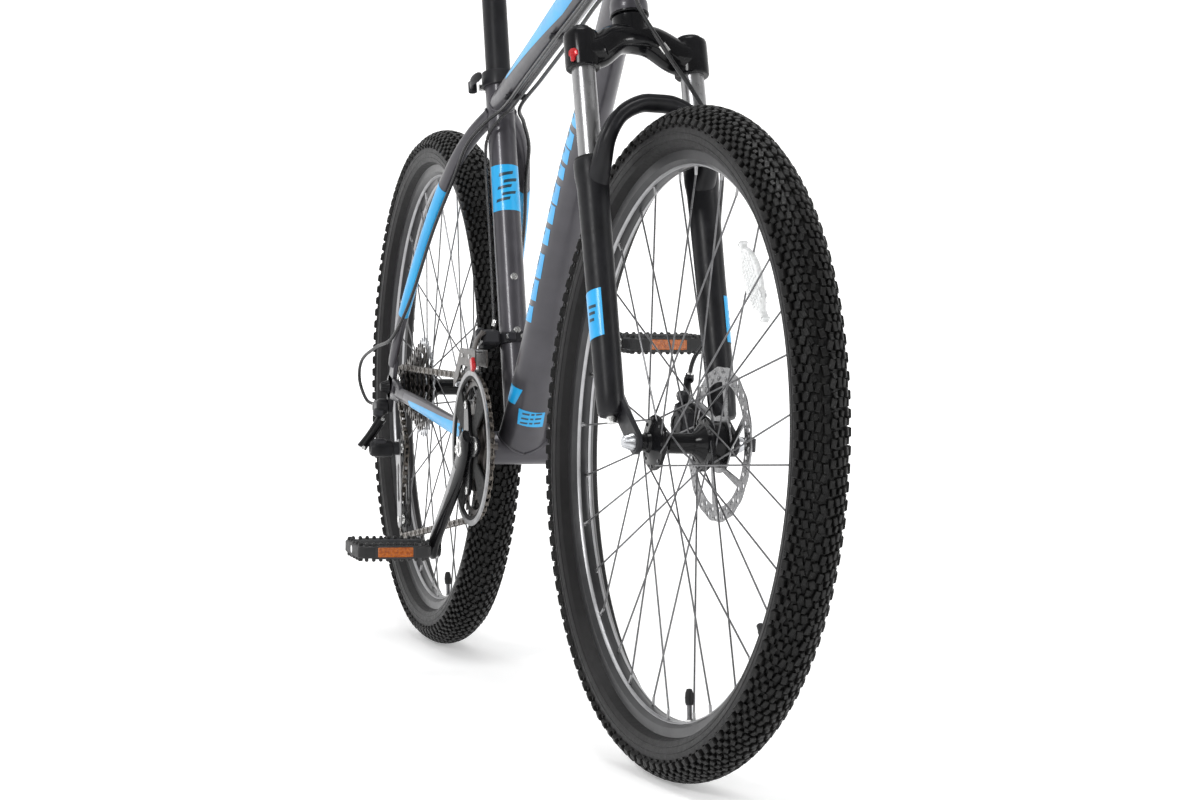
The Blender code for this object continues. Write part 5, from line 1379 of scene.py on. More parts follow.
def caliper(name, body, axle, toward, rotor_y, low, high, turn, stop):
    """A two-part mechanical caliper with pads, knob, adapter, mounting bolts and the cable's stop arm."""
    shape = Shape()
    across = toward.cross(Y)
    axes = (toward, Y, across)
    centre = axle + toward * CALIPER_REACH
    middle = Y * ((low + high) / 2)
    slot = 0.0021
    for near, far in ((low, rotor_y - slot), (rotor_y + slot, high)):
        shape.block(centre + Y * ((near + far) / 2), (0.0340, far - near, 0.0400), axes, CAST, 0.0035)
    shape.block(axle + toward * 0.0905 + middle, (0.0110, (high - low) * 0.96, 0.0420), axes, CAST, 0.003)
    shape.lathe([(0.0142, -0.0008), (0.0142, 0.0010), (0.0132, 0.0018), (0.0085, 0.0020), (0.0080, 0.0008),
                 (TIP, 0.0008)],
                centre + Y * (low - 0.0004), -Y, CAST, 36, lobes=10)
    root = axle + toward * 0.0905 - across * 0.0150 + Y * ((low + high) / 2 + 0.004)
    reach = [root, root.lerp(stop, 0.45) + toward * 0.0060, stop.lerp(root, 0.08) + toward * 0.0050]
    shape.tube(smooth_path(reach, 6), [0.0040] * 13, CAST, 16)
    shape.lathe([(0.0028, -0.0050), (0.0046, -0.0050), (0.0046, 0.0030), (0.0040, 0.0045), (0.0028, 0.0045)],
                stop, (stop - root).normalized(), CAST, 20, closed=True, lobes=10)
    for sign in (-1, 1):
        ear = axle + toward * 0.0890 + across * (sign * 0.0270) + Y * ((low + high) / 2 - 0.004)
        shape.block(ear, (0.0130, 0.0120, 0.0130), axes, CAST, 0.003)
        shape.bolt(ear + toward * 0.0062, toward, 0.0048, 0.0045)
        for gap in (-0.0017, 0.0017):
            shape.block(axle + toward * 0.0760 + across * (sign * 0.012) + Y * (rotor_y + gap),
                        (0.026, 0.0009, 0.010), axes, PAD, 0.0002)
    shape.build(name + "_bolted", body, turn=turn, instead=[name])


def caliper_arm(name, pivot, along, turn):
    """The arm that the cable pulls, with its window and bolts."""
    shape = Shape()
    tip = pivot + along * ARM_LENGTH
    outline = capsule((pivot.x, pivot.z), (tip.x, tip.z), 0.008, 0.0045, 12)
    hole = capsule((pivot.x + along.x * 0.014, pivot.z + along.z * 0.014),
                   (pivot.x + along.x * 0.024, pivot.z + along.z * 0.024), 0.0028, 0.0018)
    upright(shape, [outline, hole], pivot.y, pivot.y + 0.0035, SILVER, 0.0005)
    shape.bolt(pivot + Y * 0.0034, Y, 0.0050, 0.0034)
    shape.bolt(tip + Y * 0.0034, Y, 0.0034, 0.0028)
    shape.build(name + "_bolted", name, turn=turn, instead=[name])


def skewer(name, body, axle, half, turn, look):
    """Quick-release rod with a knurled nut on the right and the cam housing on the left."""
    shape = Shape()
    face = half + 0.0068
    shape.lathe([(TIP, -face - 0.0118), (0.0046, -face - 0.0116), (0.0060, -face - 0.0100),
                 (0.0070, -face - 0.0060),
                 (0.0086, -face - 0.0030), (0.0088, -face), (0.0026, -face)], axle, Y, look, 40, lobes=14)
    shape.lathe([(0.0025, -face), (0.0025, face)], axle, Y, STEEL, 20)
    shape.lathe([(0.0026, face), (0.0088, face), (0.0088, face + 0.0020), (0.0078, face + 0.0064),
                 (0.0064, face + 0.0080), (TIP, face + 0.0082)], axle, Y, SILVER, 36)
    shape.build(name + "_rod", body, turn=turn, instead=[name])


def brake_parts():
    """Calipers, their arms, both skewers and their quick-release levers."""
    caliper("front_caliper", "fork_lowers", STRAIGHT_AXLE, FRONT_WAY, ROTOR_FRONT_Y, 0.0235, 0.0466, True,
            head_point(0.100, -0.0450, 0.0530))
    caliper("rear_caliper", "frame", REAR_AXLE, REAR_WAY, ROTOR_REAR_Y, 0.0370, 0.0600, False,
            spot(-0.4410, 0.0665, 0.4250))
    caliper_arm("front_caliper_arm", STRAIGHT_AXLE + FRONT_WAY * ARM_REACH + Y * 0.0470, FRONT_ARM_WAY, True)
    caliper_arm("rear_caliper_arm", REAR_AXLE + REAR_WAY * ARM_REACH + Y * 0.0604, REAR_ARM_WAY, False)
    skewer("front_skewer", "fork_lowers", STRAIGHT_AXLE, FORK_HUB, True, SILVER)
    skewer("rear_skewer", "frame", REAR_AXLE, REAR_HUB, False, CAST)
    quick_lever("front_quick_lever", STRAIGHT_AXLE + Y * 0.0735,
                (HEAD_AXIS * 0.34 - HEAD_AHEAD * 0.94).normalized(), Y, LEVER_LENGTH, True)
    quick_lever("rear_quick_lever", REAR_AXLE + Y * 0.0912, Vector((-0.350, 0, 0.937)), Y, LEVER_LENGTH)


# Drivetrain

RING_Y = -0.0565
COG_TEETH = (11, 13, 15, 18, 21, 24, 28, 32)
COG_STEP = 0.0048
COG_FIRST_Y = -0.0600
CHAIN_COG = 1
PITCH = 0.0127
CHAINRINGS = ((42, RING_Y, 0.0020), (32, -0.0495, 0.0020), (22, -0.0429, 0.0018))
RING_BOLTS_R = 0.0520
PULLEY_TEETH = 11
PEDAL_Y = 0.140
GUIDE = (-0.528, 0.262)
TENSION = (-0.515, 0.168)
CRANK = 0.170
CRANK_ANGLE = radians(-128.8)
RD_TOP = REAR_AXLE + Vector((-0.009, -0.0745, -0.027))
RD_LINK_TOP = RD_TOP + Vector((0, -0.0075, -0.0165))
RD_LINK_FOOT = RD_TOP + Vector((0, -0.0335, -0.0545))
FD_PIVOT = spot(-0.148, -0.034, 0.432)
TILT = Vector((0.90, 0, 0.44)).normalized()


def pitch_radius(teeth):
    return teeth * PITCH / (2 * pi)


def cog_y(number):
    return COG_FIRST_Y + COG_STEP * number


def gear(teeth, centre, phase=0.0, tall=0.0030):
    """A sprocket's outline: rounded seats for the rollers between narrow teeth."""
    radius = pitch_radius(teeth)
    outline = []
    for k in range(teeth):
        for part, out in ((-0.20, -0.0034), (0.0, -0.0040), (0.20, -0.0034), (0.31, -0.0010), (0.43, tall),
                          (0.57, tall), (0.69, -0.0010)):
            angle = phase + 2 * pi * (k + part) / teeth
            outline.append(polar(centre, radius + out, angle))
    return outline


def ring_slot(centre, inner, outer, start, end, count=10):
    """A curved window between two radii."""
    turns = [start + (end - start) * k / count for k in range(count + 1)]
    return [polar(centre, inner, a) for a in turns] + [polar(centre, outer, a) for a in reversed(turns)]


def spider_windows(centre, inner, outer, gap):
    """Four curved windows, each a gap in radians clear of the spider's arms."""
    quarters = [CRANK_ANGLE + pi / 2 * k for k in range(5)]
    return [ring_slot(centre, inner, outer, a + gap, b - gap) for a, b in zip(quarters, quarters[1:])]


def ring_bolt_place(k, y):
    """The place of one of the four chainring bolts."""
    x, z = polar((BB.x, BB.z), RING_BOLTS_R, CRANK_ANGLE + pi / 4 + pi / 2 * k)
    return Vector((x, y, z))


def chainrings():
    """Three toothed rings, the bright guard ring, its dark inner guard and the bolts' spacers."""
    shape = Shape()
    centre = (BB.x, BB.z)
    y = BB.y
    for teeth, ring_y, thick in CHAINRINGS:
        outer = pitch_radius(teeth) - 0.0095
        holes = [circle(*centre, 0.0345 if teeth < 42 else 0.0400, 48)]
        if teeth == 42:
            holes += spider_windows(centre, 0.0535, outer, 0.22)
        upright(shape, [gear(teeth, centre), *holes], y + ring_y - thick / 2, y + ring_y + thick / 2, COG,
                0.0003)
    guard = circle(*centre, 0.0945, 120)
    upright(shape, [guard, circle(*centre, 0.0872, 110)], y - 0.0634, y - 0.0606, GUARD, 0.0010)
    windows = [circle(*centre, 0.0890, 110), circle(*centre, 0.0150, 40)]
    windows += spider_windows(centre, 0.0400, 0.0835, 0.24)
    upright(shape, windows, y - 0.0628, y - 0.0598, RUBBER, 0.0009)
    for k in range(4):
        shape.rod(0.0046, -0.0578, -0.0415, ring_bolt_place(k, y), Y, COG, 20)
    rings_of(shape, [(0.0345, -0.0620), (0.0405, -0.0620), (0.0405, -0.0420), (0.0345, -0.0420)],
             BB, Y, COG, 56)
    shape.build("chainrings_toothed", "crankset", 28, instead=["chainrings"])


def spider(shape):
    """The four-armed star that holds the chainrings, with its bolts."""
    outline = []
    for k in range(160):
        turn = 2 * pi * k / 160
        outline.append(polar((BB.x, BB.z), 0.024 + 0.034 * abs(sin(2 * turn)) ** 4, CRANK_ANGLE + turn))
    upright(shape, [outline, circle(BB.x, BB.z, 0.0086, 24)], BB.y - 0.0674, BB.y - 0.0630, GLOSS, 0.0009)
    for k in range(4):
        shape.bolt(ring_bolt_place(k, BB.y - 0.0672), -Y, 0.0052, 0.0016)


def crank_arm(word, side):
    """A forged arm with a dished face, the spindle boss, the crank bolt and, on the right, the spider."""
    shape = Shape()
    angle = CRANK_ANGLE if side < 0 else CRANK_ANGLE + pi
    along = Vector((cos(angle), 0, sin(angle)))
    end = BB + along * CRANK
    route = ((-0.019, 0.0700, 0.0050, 0.0110), (-0.012, 0.0700, 0.0064, 0.0165),
             (0.0, 0.0700, 0.0068, 0.0190),
             (0.03, 0.0700, 0.0070, 0.0185), (0.07, 0.0728, 0.0072, 0.0150), (0.11, 0.0772, 0.0072, 0.0122),
             (CRANK - 0.02, 0.0818, 0.0068, 0.0118), (CRANK, 0.0820, 0.0064, 0.0130),
             (CRANK + 0.008, 0.0820, 0.0060, 0.0110), (CRANK + 0.013, 0.0820, 0.0046, 0.0070))
    points = [BB + along * t + Y * (side * y) for t, y, _, _ in route]
    Pipe(points, [(thin, wide) for _, _, thin, wide in route], Y, 6).skin(shape, GLOSS, 36)
    face_route = ((0.030, 0.0700), (0.07, 0.0728), (0.11, 0.0772), (0.145, 0.0812))
    face = [BB + along * t + Y * (side * (y + 0.0066)) for t, y in face_route]
    Pipe(face, [(0.0010, 0.0060), (0.0010, 0.0050), (0.0010, 0.0040), (0.0010, 0.0034)], Y,
         6).skin(shape, GUARD, 16)
    out = Y * side
    shape.lathe([(0.0110, 0.0740), (0.0110, 0.0766), (0.0100, 0.0775), (0.0072, 0.0775), (0.0070, 0.0750, 1),
                 (TIP, 0.0750)], BB, out, NICKEL, 36)
    shape.lathe([(0.0110, 0.0745), (0.0110, 0.0895), (0.0100, 0.0905), (0.0052, 0.0905)], end, out, GLOSS, 36)
    shape.lathe([(0.0062, 0.0900), (0.0062, 0.0935), (0.0048, 0.0940), (0.0048, 0.1860), (TIP, 0.1860)],
                end, out, NICKEL, 30)
    if side < 0:
        shape.rod(0.0085, -0.0680, 0.0640, BB, Y, STEEL, 30)
        spider(shape)
    shape.build("crank_arm_%s_forged" % word, "crankset", instead=["crank_arm_" + word])


def pedal(word, side):
    """A cage pedal: barrel, cross bars, toothed cage plates and a reflector front and back."""
    shape = Shape()
    angle = CRANK_ANGLE if side < 0 else CRANK_ANGLE + pi
    end = BB + Vector((cos(angle), 0, sin(angle))) * CRANK
    middle = end + Y * (side * PEDAL_Y)
    long, wide, round_r = 0.0468, 0.0458, 0.009
    axes = (X, Y, Z)
    outline = []
    for a, b, first in ((1, 1, 0), (-1, 1, 90), (-1, -1, 180), (1, -1, 270)):
        corner = (a * (long - round_r), b * (wide - round_r))
        outline += [polar(corner, round_r, radians(first + 15 * k)) for k in range(7)]
    square = ((-1, -1), (1, -1), (1, 1), (-1, 1))
    holes = [[(k * 0.0245 + a * 0.0125, b * 0.0350) for a, b in square] for k in (-1, 1)]
    shape.plate([outline, *holes], middle, X, Y, 0.0150, PLASTIC, 0.0016)
    for sign in (-1, 1):
        for k in range(9):
            y = (k - 4) * 0.0088
            shape.block(middle + Vector((sign * 0.0415, y, 0)), (0.0062, 0.0040, 0.0236), axes, PLASTIC,
                        0.0012)
        for k in range(5):
            x = (k - 2) * 0.0165
            shape.block(middle + Vector((x, sign * 0.0412, 0)), (0.0044, 0.0060, 0.0236), axes, PLASTIC,
                        0.0012)
        shape.block(middle + Vector((sign * 0.0455, 0, 0)), (0.0030, 0.0520, 0.0170), axes, PLASTIC, 0.0010)
        shape.block(middle + Vector((sign * 0.0464, 0, 0)), (0.0024, 0.0440, 0.0120), axes, AMBER, 0.0006)
        for row in (-1, 1):
            for k in range(11):
                shape.block(middle + Vector((sign * 0.0477, (k - 5) * 0.0038, row * 0.0026)),
                            (0.0006, 0.0030, 0.0042), axes, AMBER, 0.0002)
    shape.lathe([(0.0054, -0.0450), (0.0100, -0.0450), (0.0112, -0.0430), (0.0112, 0.0400), (0.0090, 0.0455),
                 (TIP, 0.0455)],
                middle, Y * side, PLASTIC, 32)
    shape.build("pedal_%s_cage" % word, "pedal_" + word, instead=["pedal_" + word])


def cassette():
    """Eight toothed cogs with windows, their spacers and the lock ring."""
    shape = Shape()
    centre = (REAR_AXLE.x, REAR_AXLE.z)
    for number, teeth in enumerate(COG_TEETH):
        y = REAR_AXLE.y + cog_y(number)
        holes = [circle(*centre, 0.0135, 36)]
        root = pitch_radius(teeth) - 0.0095
        if root > 0.024:
            holes += [ring_slot(centre, 0.0190, root, 2 * pi * k / 6 + 0.12, 2 * pi * (k + 1) / 6 - 0.12, 5)
                      for k in range(6)]
        upright(shape, [gear(teeth, centre, 0.1 * number, 0.0024), *holes], y - 0.0009, y + 0.0009,
                COG if number < 7 else SILVER, 0.0002)
    rings_of(shape, [(0.0136, cog_y(0) - 0.0020), (0.0178, cog_y(0) - 0.0020), (0.0178, cog_y(7)),
                     (0.0136, cog_y(7))],
             REAR_AXLE, Y, SATIN, 40)
    lock = [(0.0105, cog_y(0) - 0.0034), (0.0170, cog_y(0) - 0.0030), (0.0174, cog_y(0) - 0.0010),
            (0.0105, cog_y(0) - 0.0010)]
    rings_of(shape, lock, REAR_AXLE, Y, NICKEL, 40)
    shape.build("cassette_toothed", "cassette", 28, instead=["cassette"])


def belt_path(circles, step):
    """The taut loop round circles (x, z, radius, sense), with sense 1 where it turns like the wheels."""
    runs = []
    for k, first in enumerate(circles):
        second = circles[(k + 1) % len(circles)]
        dx, dz = second[0] - first[0], second[1] - first[1]
        heading = atan2(dz, dx)
        runs.append(heading + acos((first[2] * first[3] - second[2] * second[3]) / hypot(dx, dz)))
    points = []
    for k, (x, z, radius, sense) in enumerate(circles):
        start, end = runs[k - 1], runs[k]
        turn = (start - end) % (2 * pi) if sense > 0 else -((end - start) % (2 * pi))
        count = max(2, ceil(abs(turn) / step))
        for i in range(count + 1):
            angle = start - turn * i / count
            points.append(Vector((x + sense * radius * cos(angle), z + sense * radius * sin(angle))))
    return points


def chain_pins():
    """The pins of a closed chain, an even number of them, spaced evenly round the loop."""
    pulley_r = pitch_radius(PULLEY_TEETH)
    shift = SHIFT.x
    loop = belt_path([(BB.x, BB.z, pitch_radius(42), 1), (TENSION[0] + shift, TENSION[1], pulley_r, 1),
                      (GUIDE[0] + shift, GUIDE[1], pulley_r, -1),
                      (REAR_AXLE.x, REAR_AXLE.z, pitch_radius(COG_TEETH[CHAIN_COG]), 1)], radians(2))
    loop.append(loop[0])
    lengths = [0.0]
    for a, b in zip(loop, loop[1:]):
        lengths.append(lengths[-1] + (b - a).length)
    count = 2 * round(lengths[-1] / PITCH / 2)
    pins, place = [], 0
    for k in range(count):
        want = lengths[-1] * k / count
        while lengths[place + 1] < want:
            place += 1
        part = (want - lengths[place]) / max(lengths[place + 1] - lengths[place], 1e-9)
        x, z = loop[place].lerp(loop[place + 1], part)
        y = RING_Y + (x - BB.x) / (REAR_AXLE.x - BB.x) * (cog_y(CHAIN_COG) - RING_Y)
        pins.append(Vector((x, BB.y + y, z)))
    return pins


def chain():
    """Inner and outer plates, rollers and pins, link by link."""
    shape = Shape()
    pins = chain_pins()
    for k, pin in enumerate(pins):
        following = pins[(k + 1) % len(pins)]
        along = (following - pin).normalized()
        out = along.cross(Y).normalized()
        inner = k % 2 == 0
        gap = 0.0016 if inner else 0.0025
        half = 0.0004
        length = (following - pin).length
        outline = [polar((0, 0), 0.0041, radians(90 + 30 * i)) for i in range(7)]
        outline.append((length / 2, -0.0030))
        outline += [polar((length, 0), 0.0041, radians(270 + 30 * i)) for i in range(7)]
        outline.append((length / 2, 0.0030))
        for side in (-1, 1):
            rings = [[pin + along * (u * shrink) + out * (v * shrink) + Y * (side * (gap + lift))
                      for u, v in outline]
                     for lift, shrink in ((-half, 1.0), (half * 0.5, 1.0), (half, 0.97))]
            shape.loft(rings, CHAIN)
        if inner:
            for centre in (pin, following):
                shape.rod(0.0039, -0.0016, 0.0016, centre, Y, CHAIN, 12)
        shape.rod(0.0018, -0.0034, 0.0034, pin, Y, CHAIN, 10)
    shape.build("chain_links", "frame", 28, instead=["chain"])


def pulley(name, centre):
    """A small toothed wheel with six holes and a bush."""
    shape = Shape()
    middle = Vector((centre[0] + SHIFT.x, cog_y(CHAIN_COG) + SHIFT.y, centre[1]))
    place = (middle.x, middle.z)
    holes = [circle(*place, 0.0042, 20)]
    holes += [circle(*polar(place, 0.0098, pi / 3 * k), 0.0024, 12) for k in range(6)]
    upright(shape, [gear(PULLEY_TEETH, place, 0.2, 0.0020), *holes], middle.y - 0.0010, middle.y + 0.0010,
            PLASTIC, 0.0002)
    rings_of(shape, both_ways([(0.0030, 0.0024), (0.0062, 0.0024), (0.0066, 0.0012)]),
             middle, Y, NICKEL, 28)
    shape.build(name + "_toothed", name, 28, instead=[name])


def rear_derailleur_body():
    """The body on its hanger, with its barrel adjuster and limit screws."""
    body = Shape()
    body.lathe([(TIP, 0), (0.0098, 0), (0.0106, 0.0010), (0.0106, 0.0100), (0.0098, 0.0125),
                (0.0075, 0.0140), (0.0062, 0.0145), (0.0058, 0.0120, 1), (TIP, 0.0120)], RD_TOP, -Y, CAST, 40)
    body.block(RD_TOP + Vector((-0.010, -0.0075, 0.000)), (0.0270, 0.0140, 0.0160), (X, Y, Z), CAST, 0.003)
    body.block(RD_TOP + Vector((0.004, -0.0120, -0.0080)), (0.0150, 0.0150, 0.0120), (X, Y, Z), CAST, 0.003)
    body.lathe([(TIP, 0), (0.0052, 0), (0.0056, 0.0008), (0.0056, 0.0090), (0.0048, 0.0100),
                (0.0036, 0.0100), (0.0030, 0.0135),
                (TIP, 0.0135)], RD_TOP + Vector((-0.0200, -0.0080, 0.0010)), Vector((-0.90, 0, 0.10)),
               SATIN, 28, lobes=12)
    for k in (-1, 1):
        body.bolt(RD_TOP + Vector((-0.0130 + 0.0036 * k, -0.0126, 0.0010)), -Y, 0.0022, 0.0014)
    body.build("rear_derailleur_body_cast", "frame", instead=["rear_derailleur_body"])


def rear_derailleur_link():
    """The cast link with two ribs, between its two pins."""
    link = Shape()
    way = (RD_LINK_FOOT - RD_LINK_TOP).normalized()
    face = way.cross(X).normalized()
    points = [RD_LINK_TOP.lerp(RD_LINK_FOOT, t) for t in (-0.02, 0.25, 0.5, 0.75, 1.02)]
    Pipe(points, [(0.0088, 0.0070), (0.0080, 0.0060), (0.0076, 0.0056), (0.0080, 0.0060), (0.0088, 0.0070)],
         X, 5).skin(link, CAST, 24)
    for shift in (-0.0045, 0.0045):
        rib = [RD_LINK_TOP.lerp(RD_LINK_FOOT, t) + X * shift - face * 0.0052 for t in (0.12, 0.5, 0.88)]
        Pipe(rib, [0.0016, 0.0014, 0.0016], X, 5).skin(link, CAST, 12)
    for place in (RD_LINK_TOP, RD_LINK_FOOT):
        link.rod(0.0026, -0.0096, 0.0096, place, X, NICKEL, 16)
    link.build("rear_derailleur_link_plates", "rear_derailleur_link",
               instead=["rear_derailleur_link"])


def rear_derailleur_knuckle():
    """The round knuckle that the cage turns in."""
    guide = spot(GUIDE[0], 0, GUIDE[1])
    knuckle = Shape()
    knuckle.lathe([(TIP, 0.0712), (0.0106, 0.0712), (0.0115, 0.0722), (0.0115, 0.0900), (0.0108, 0.0975),
                   (0.0085, 0.1004),
                   (0.0050, 0.1010), (0.0046, 0.0990, 1), (TIP, 0.0990)], guide, -Y, CAST, 40)
    knuckle.block(Vector((guide.x + 0.002, SHIFT.y - 0.0880, guide.z + 0.009)), (0.014, 0.018, 0.008),
                  (X, Y, Z), CAST, 0.0025)
    knuckle.build("rear_derailleur_knuckle_cast", "rear_derailleur_knuckle",
                  instead=["rear_derailleur_knuckle"])


def rear_derailleur_cage():
    """Two plates with a window, on the pins of both pulleys."""
    cage = Shape()
    guide = spot(GUIDE[0], 0, GUIDE[1])
    low = spot(TENSION[0], 0, TENSION[1])
    level = cog_y(CHAIN_COG) + SHIFT.y
    first, second = (guide.x, guide.z), (low.x, low.z)
    slot = capsule((guide.x * 0.72 + low.x * 0.28, guide.z * 0.72 + low.z * 0.28),
                   (guide.x * 0.30 + low.x * 0.70, guide.z * 0.30 + low.z * 0.70), 0.0058, 0.0052)
    upright(cage, [capsule(first, second, 0.0125, 0.0115, 14), slot], level - 0.0072, level - 0.0054, GUARD,
            0.0005)
    upright(cage, [capsule(first, second, 0.0115, 0.0110, 14), slot], level + 0.0054, level + 0.0072, SATIN,
            0.0005)
    for centre in (guide, low):
        cage.lathe([(TIP, -0.0086), (0.0044, -0.0086), (0.0044, -0.0070), (0.0025, -0.0070),
                    (0.0025, 0.0074), (TIP, 0.0074)],
                   Vector((centre.x, level, centre.z)), Y, NICKEL, 22)
    cage.rod(0.0090, 0.0620, 0.0705, guide, -Y, CAST, 30)
    cage.build("rear_derailleur_cage_plates", "rear_derailleur_cage",
               instead=["rear_derailleur_cage"])


def front_derailleur_clamp():
    """The band round the seat tube, with its cast housing and screws."""
    clamp = Shape()
    band = [(SEAT_TUBE_R + 0.0004, 0.1285), (0.0202, 0.1285), (0.0206, 0.1292), (0.0206, 0.1408),
            (0.0202, 0.1415), (SEAT_TUBE_R + 0.0004, 0.1415)]
    rings_of(clamp, band, BB, SEAT_AXIS, SATIN, 56)
    axes = (SEAT_AHEAD, Y, SEAT_AXIS)
    clamp.block(seat_point(0.136, 0.0, -0.0310), (0.0280, 0.0230, 0.0200), axes, CAST, 0.0035)
    clamp.block(seat_point(0.142, -0.004, -0.0420), (0.0200, 0.0120, 0.0160), axes, CAST, 0.0030)
    clamp.block(seat_point(0.135, 0.0195, -0.0080), (0.0060, 0.0110, 0.0110), axes, SATIN, 0.0015)
    for y in (-0.0115, 0.0060):
        clamp.bolt(seat_point(0.135, 0.0190, y), SEAT_AHEAD, 0.0034, 0.0032)
    for s in (0.131, 0.139):
        clamp.bolt(seat_point(s, 0.0085, -0.0424), -Y, 0.0024, 0.0014)
    clamp.build("front_derailleur_clamp_bolted", "frame", instead=["front_derailleur_clamp"])


def front_derailleur_cage():
    """Two plates either side of the chain, their bridges and the link they hang on."""
    cage = Shape()
    side_view = [(-0.086, 0.391), (-0.088, 0.412), (-0.165, 0.412), (-0.200, 0.372), (-0.198, 0.362),
                 (-0.176, 0.374), (-0.160, 0.391)]
    moved = [(x + SHIFT.x, z) for x, z in side_view]
    for low, high in ((-0.0650, -0.0632), (-0.0508, -0.0492)):
        upright(cage, [moved], low + SHIFT.y, high + SHIFT.y, COG, 0.0004)
    cage.block(spot(-0.128, -0.0571, 0.4100), (0.050, 0.0155, 0.003), (X, Y, Z), GUARD, 0.0008)
    cage.block(spot(-0.190, -0.0571, 0.3660), (0.006, 0.0150, 0.006), (X, Y, Z), SILVER, 0.0008)
    for x in (-0.115, -0.150):
        cage.bolt(spot(x, -0.0650, 0.4035), -Y, 0.0028, 0.0016)
    route = [FD_PIVOT + Vector((0, y, z)) for y, z in ((-0.018, -0.024), (-0.014, -0.010), (-0.006, 0))]
    Pipe(route, [(0.010, 0.0022), (0.009, 0.0025), (0.008, 0.004)], X, 6).skin(cage, COG, 22)
    cage.block(spot(-0.0900, -0.0668, 0.3950), (0.0100, 0.0050, 0.0165), (TILT, Y, TILT.cross(Y)), RED,
               0.0012)
    cage.build("front_derailleur_cage_plates", "front_derailleur_cage",
               instead=["front_derailleur_cage"])


def drivetrain_parts():
    chainrings()
    cassette()
    chain()
    pulley("guide_pulley", GUIDE)
    pulley("tension_pulley", TENSION)
    rear_derailleur_body()
    rear_derailleur_link()
    rear_derailleur_knuckle()
    rear_derailleur_cage()
    front_derailleur_clamp()
    front_derailleur_cage()
    for word, side in SIDES:
        crank_arm(word, side)
        pedal(word, side)


# Cables


def pod_exit(side, ahead_by, down_by):
    """Where a cable leaves the controls on one side, turned with the bars."""
    _, ahead, down = bar_axes(side)
    return TURN @ (bar_point(side, 0.058) + ahead * ahead_by + down * down_by)


def under_top_tube(y):
    """The stops along the top tube's underside."""
    return [spot(x, y, z) for x, z in ((0.200, 0.8225), (0.060, 0.7800), (-0.080, 0.7380), (-0.180, 0.7080))]


def cable_piece(name, route, radius, end):
    """A jacketed cable with a metal ferrule at each end and, where it has a clamp, bare wire on to it."""
    shape = Shape()
    points = smooth_path(route, 8)
    shape.tube(points, [radius] * len(points), JACKET, 14, Vector((0.3, 0.2, 1)).normalized())
    if end is not None:
        shape.tube([points[-1], end], [0.0008, 0.0008], STEEL, 8)
    for tip, inner in ((points[0], points[3]), (points[-1], points[-4])):
        shape.lathe([(radius, 0), (radius * 1.35, 0), (radius * 1.35, 0.007), (radius, 0.008)], tip,
                    inner - tip, NICKEL, 18)
    return shape.build(name + "_jacket")


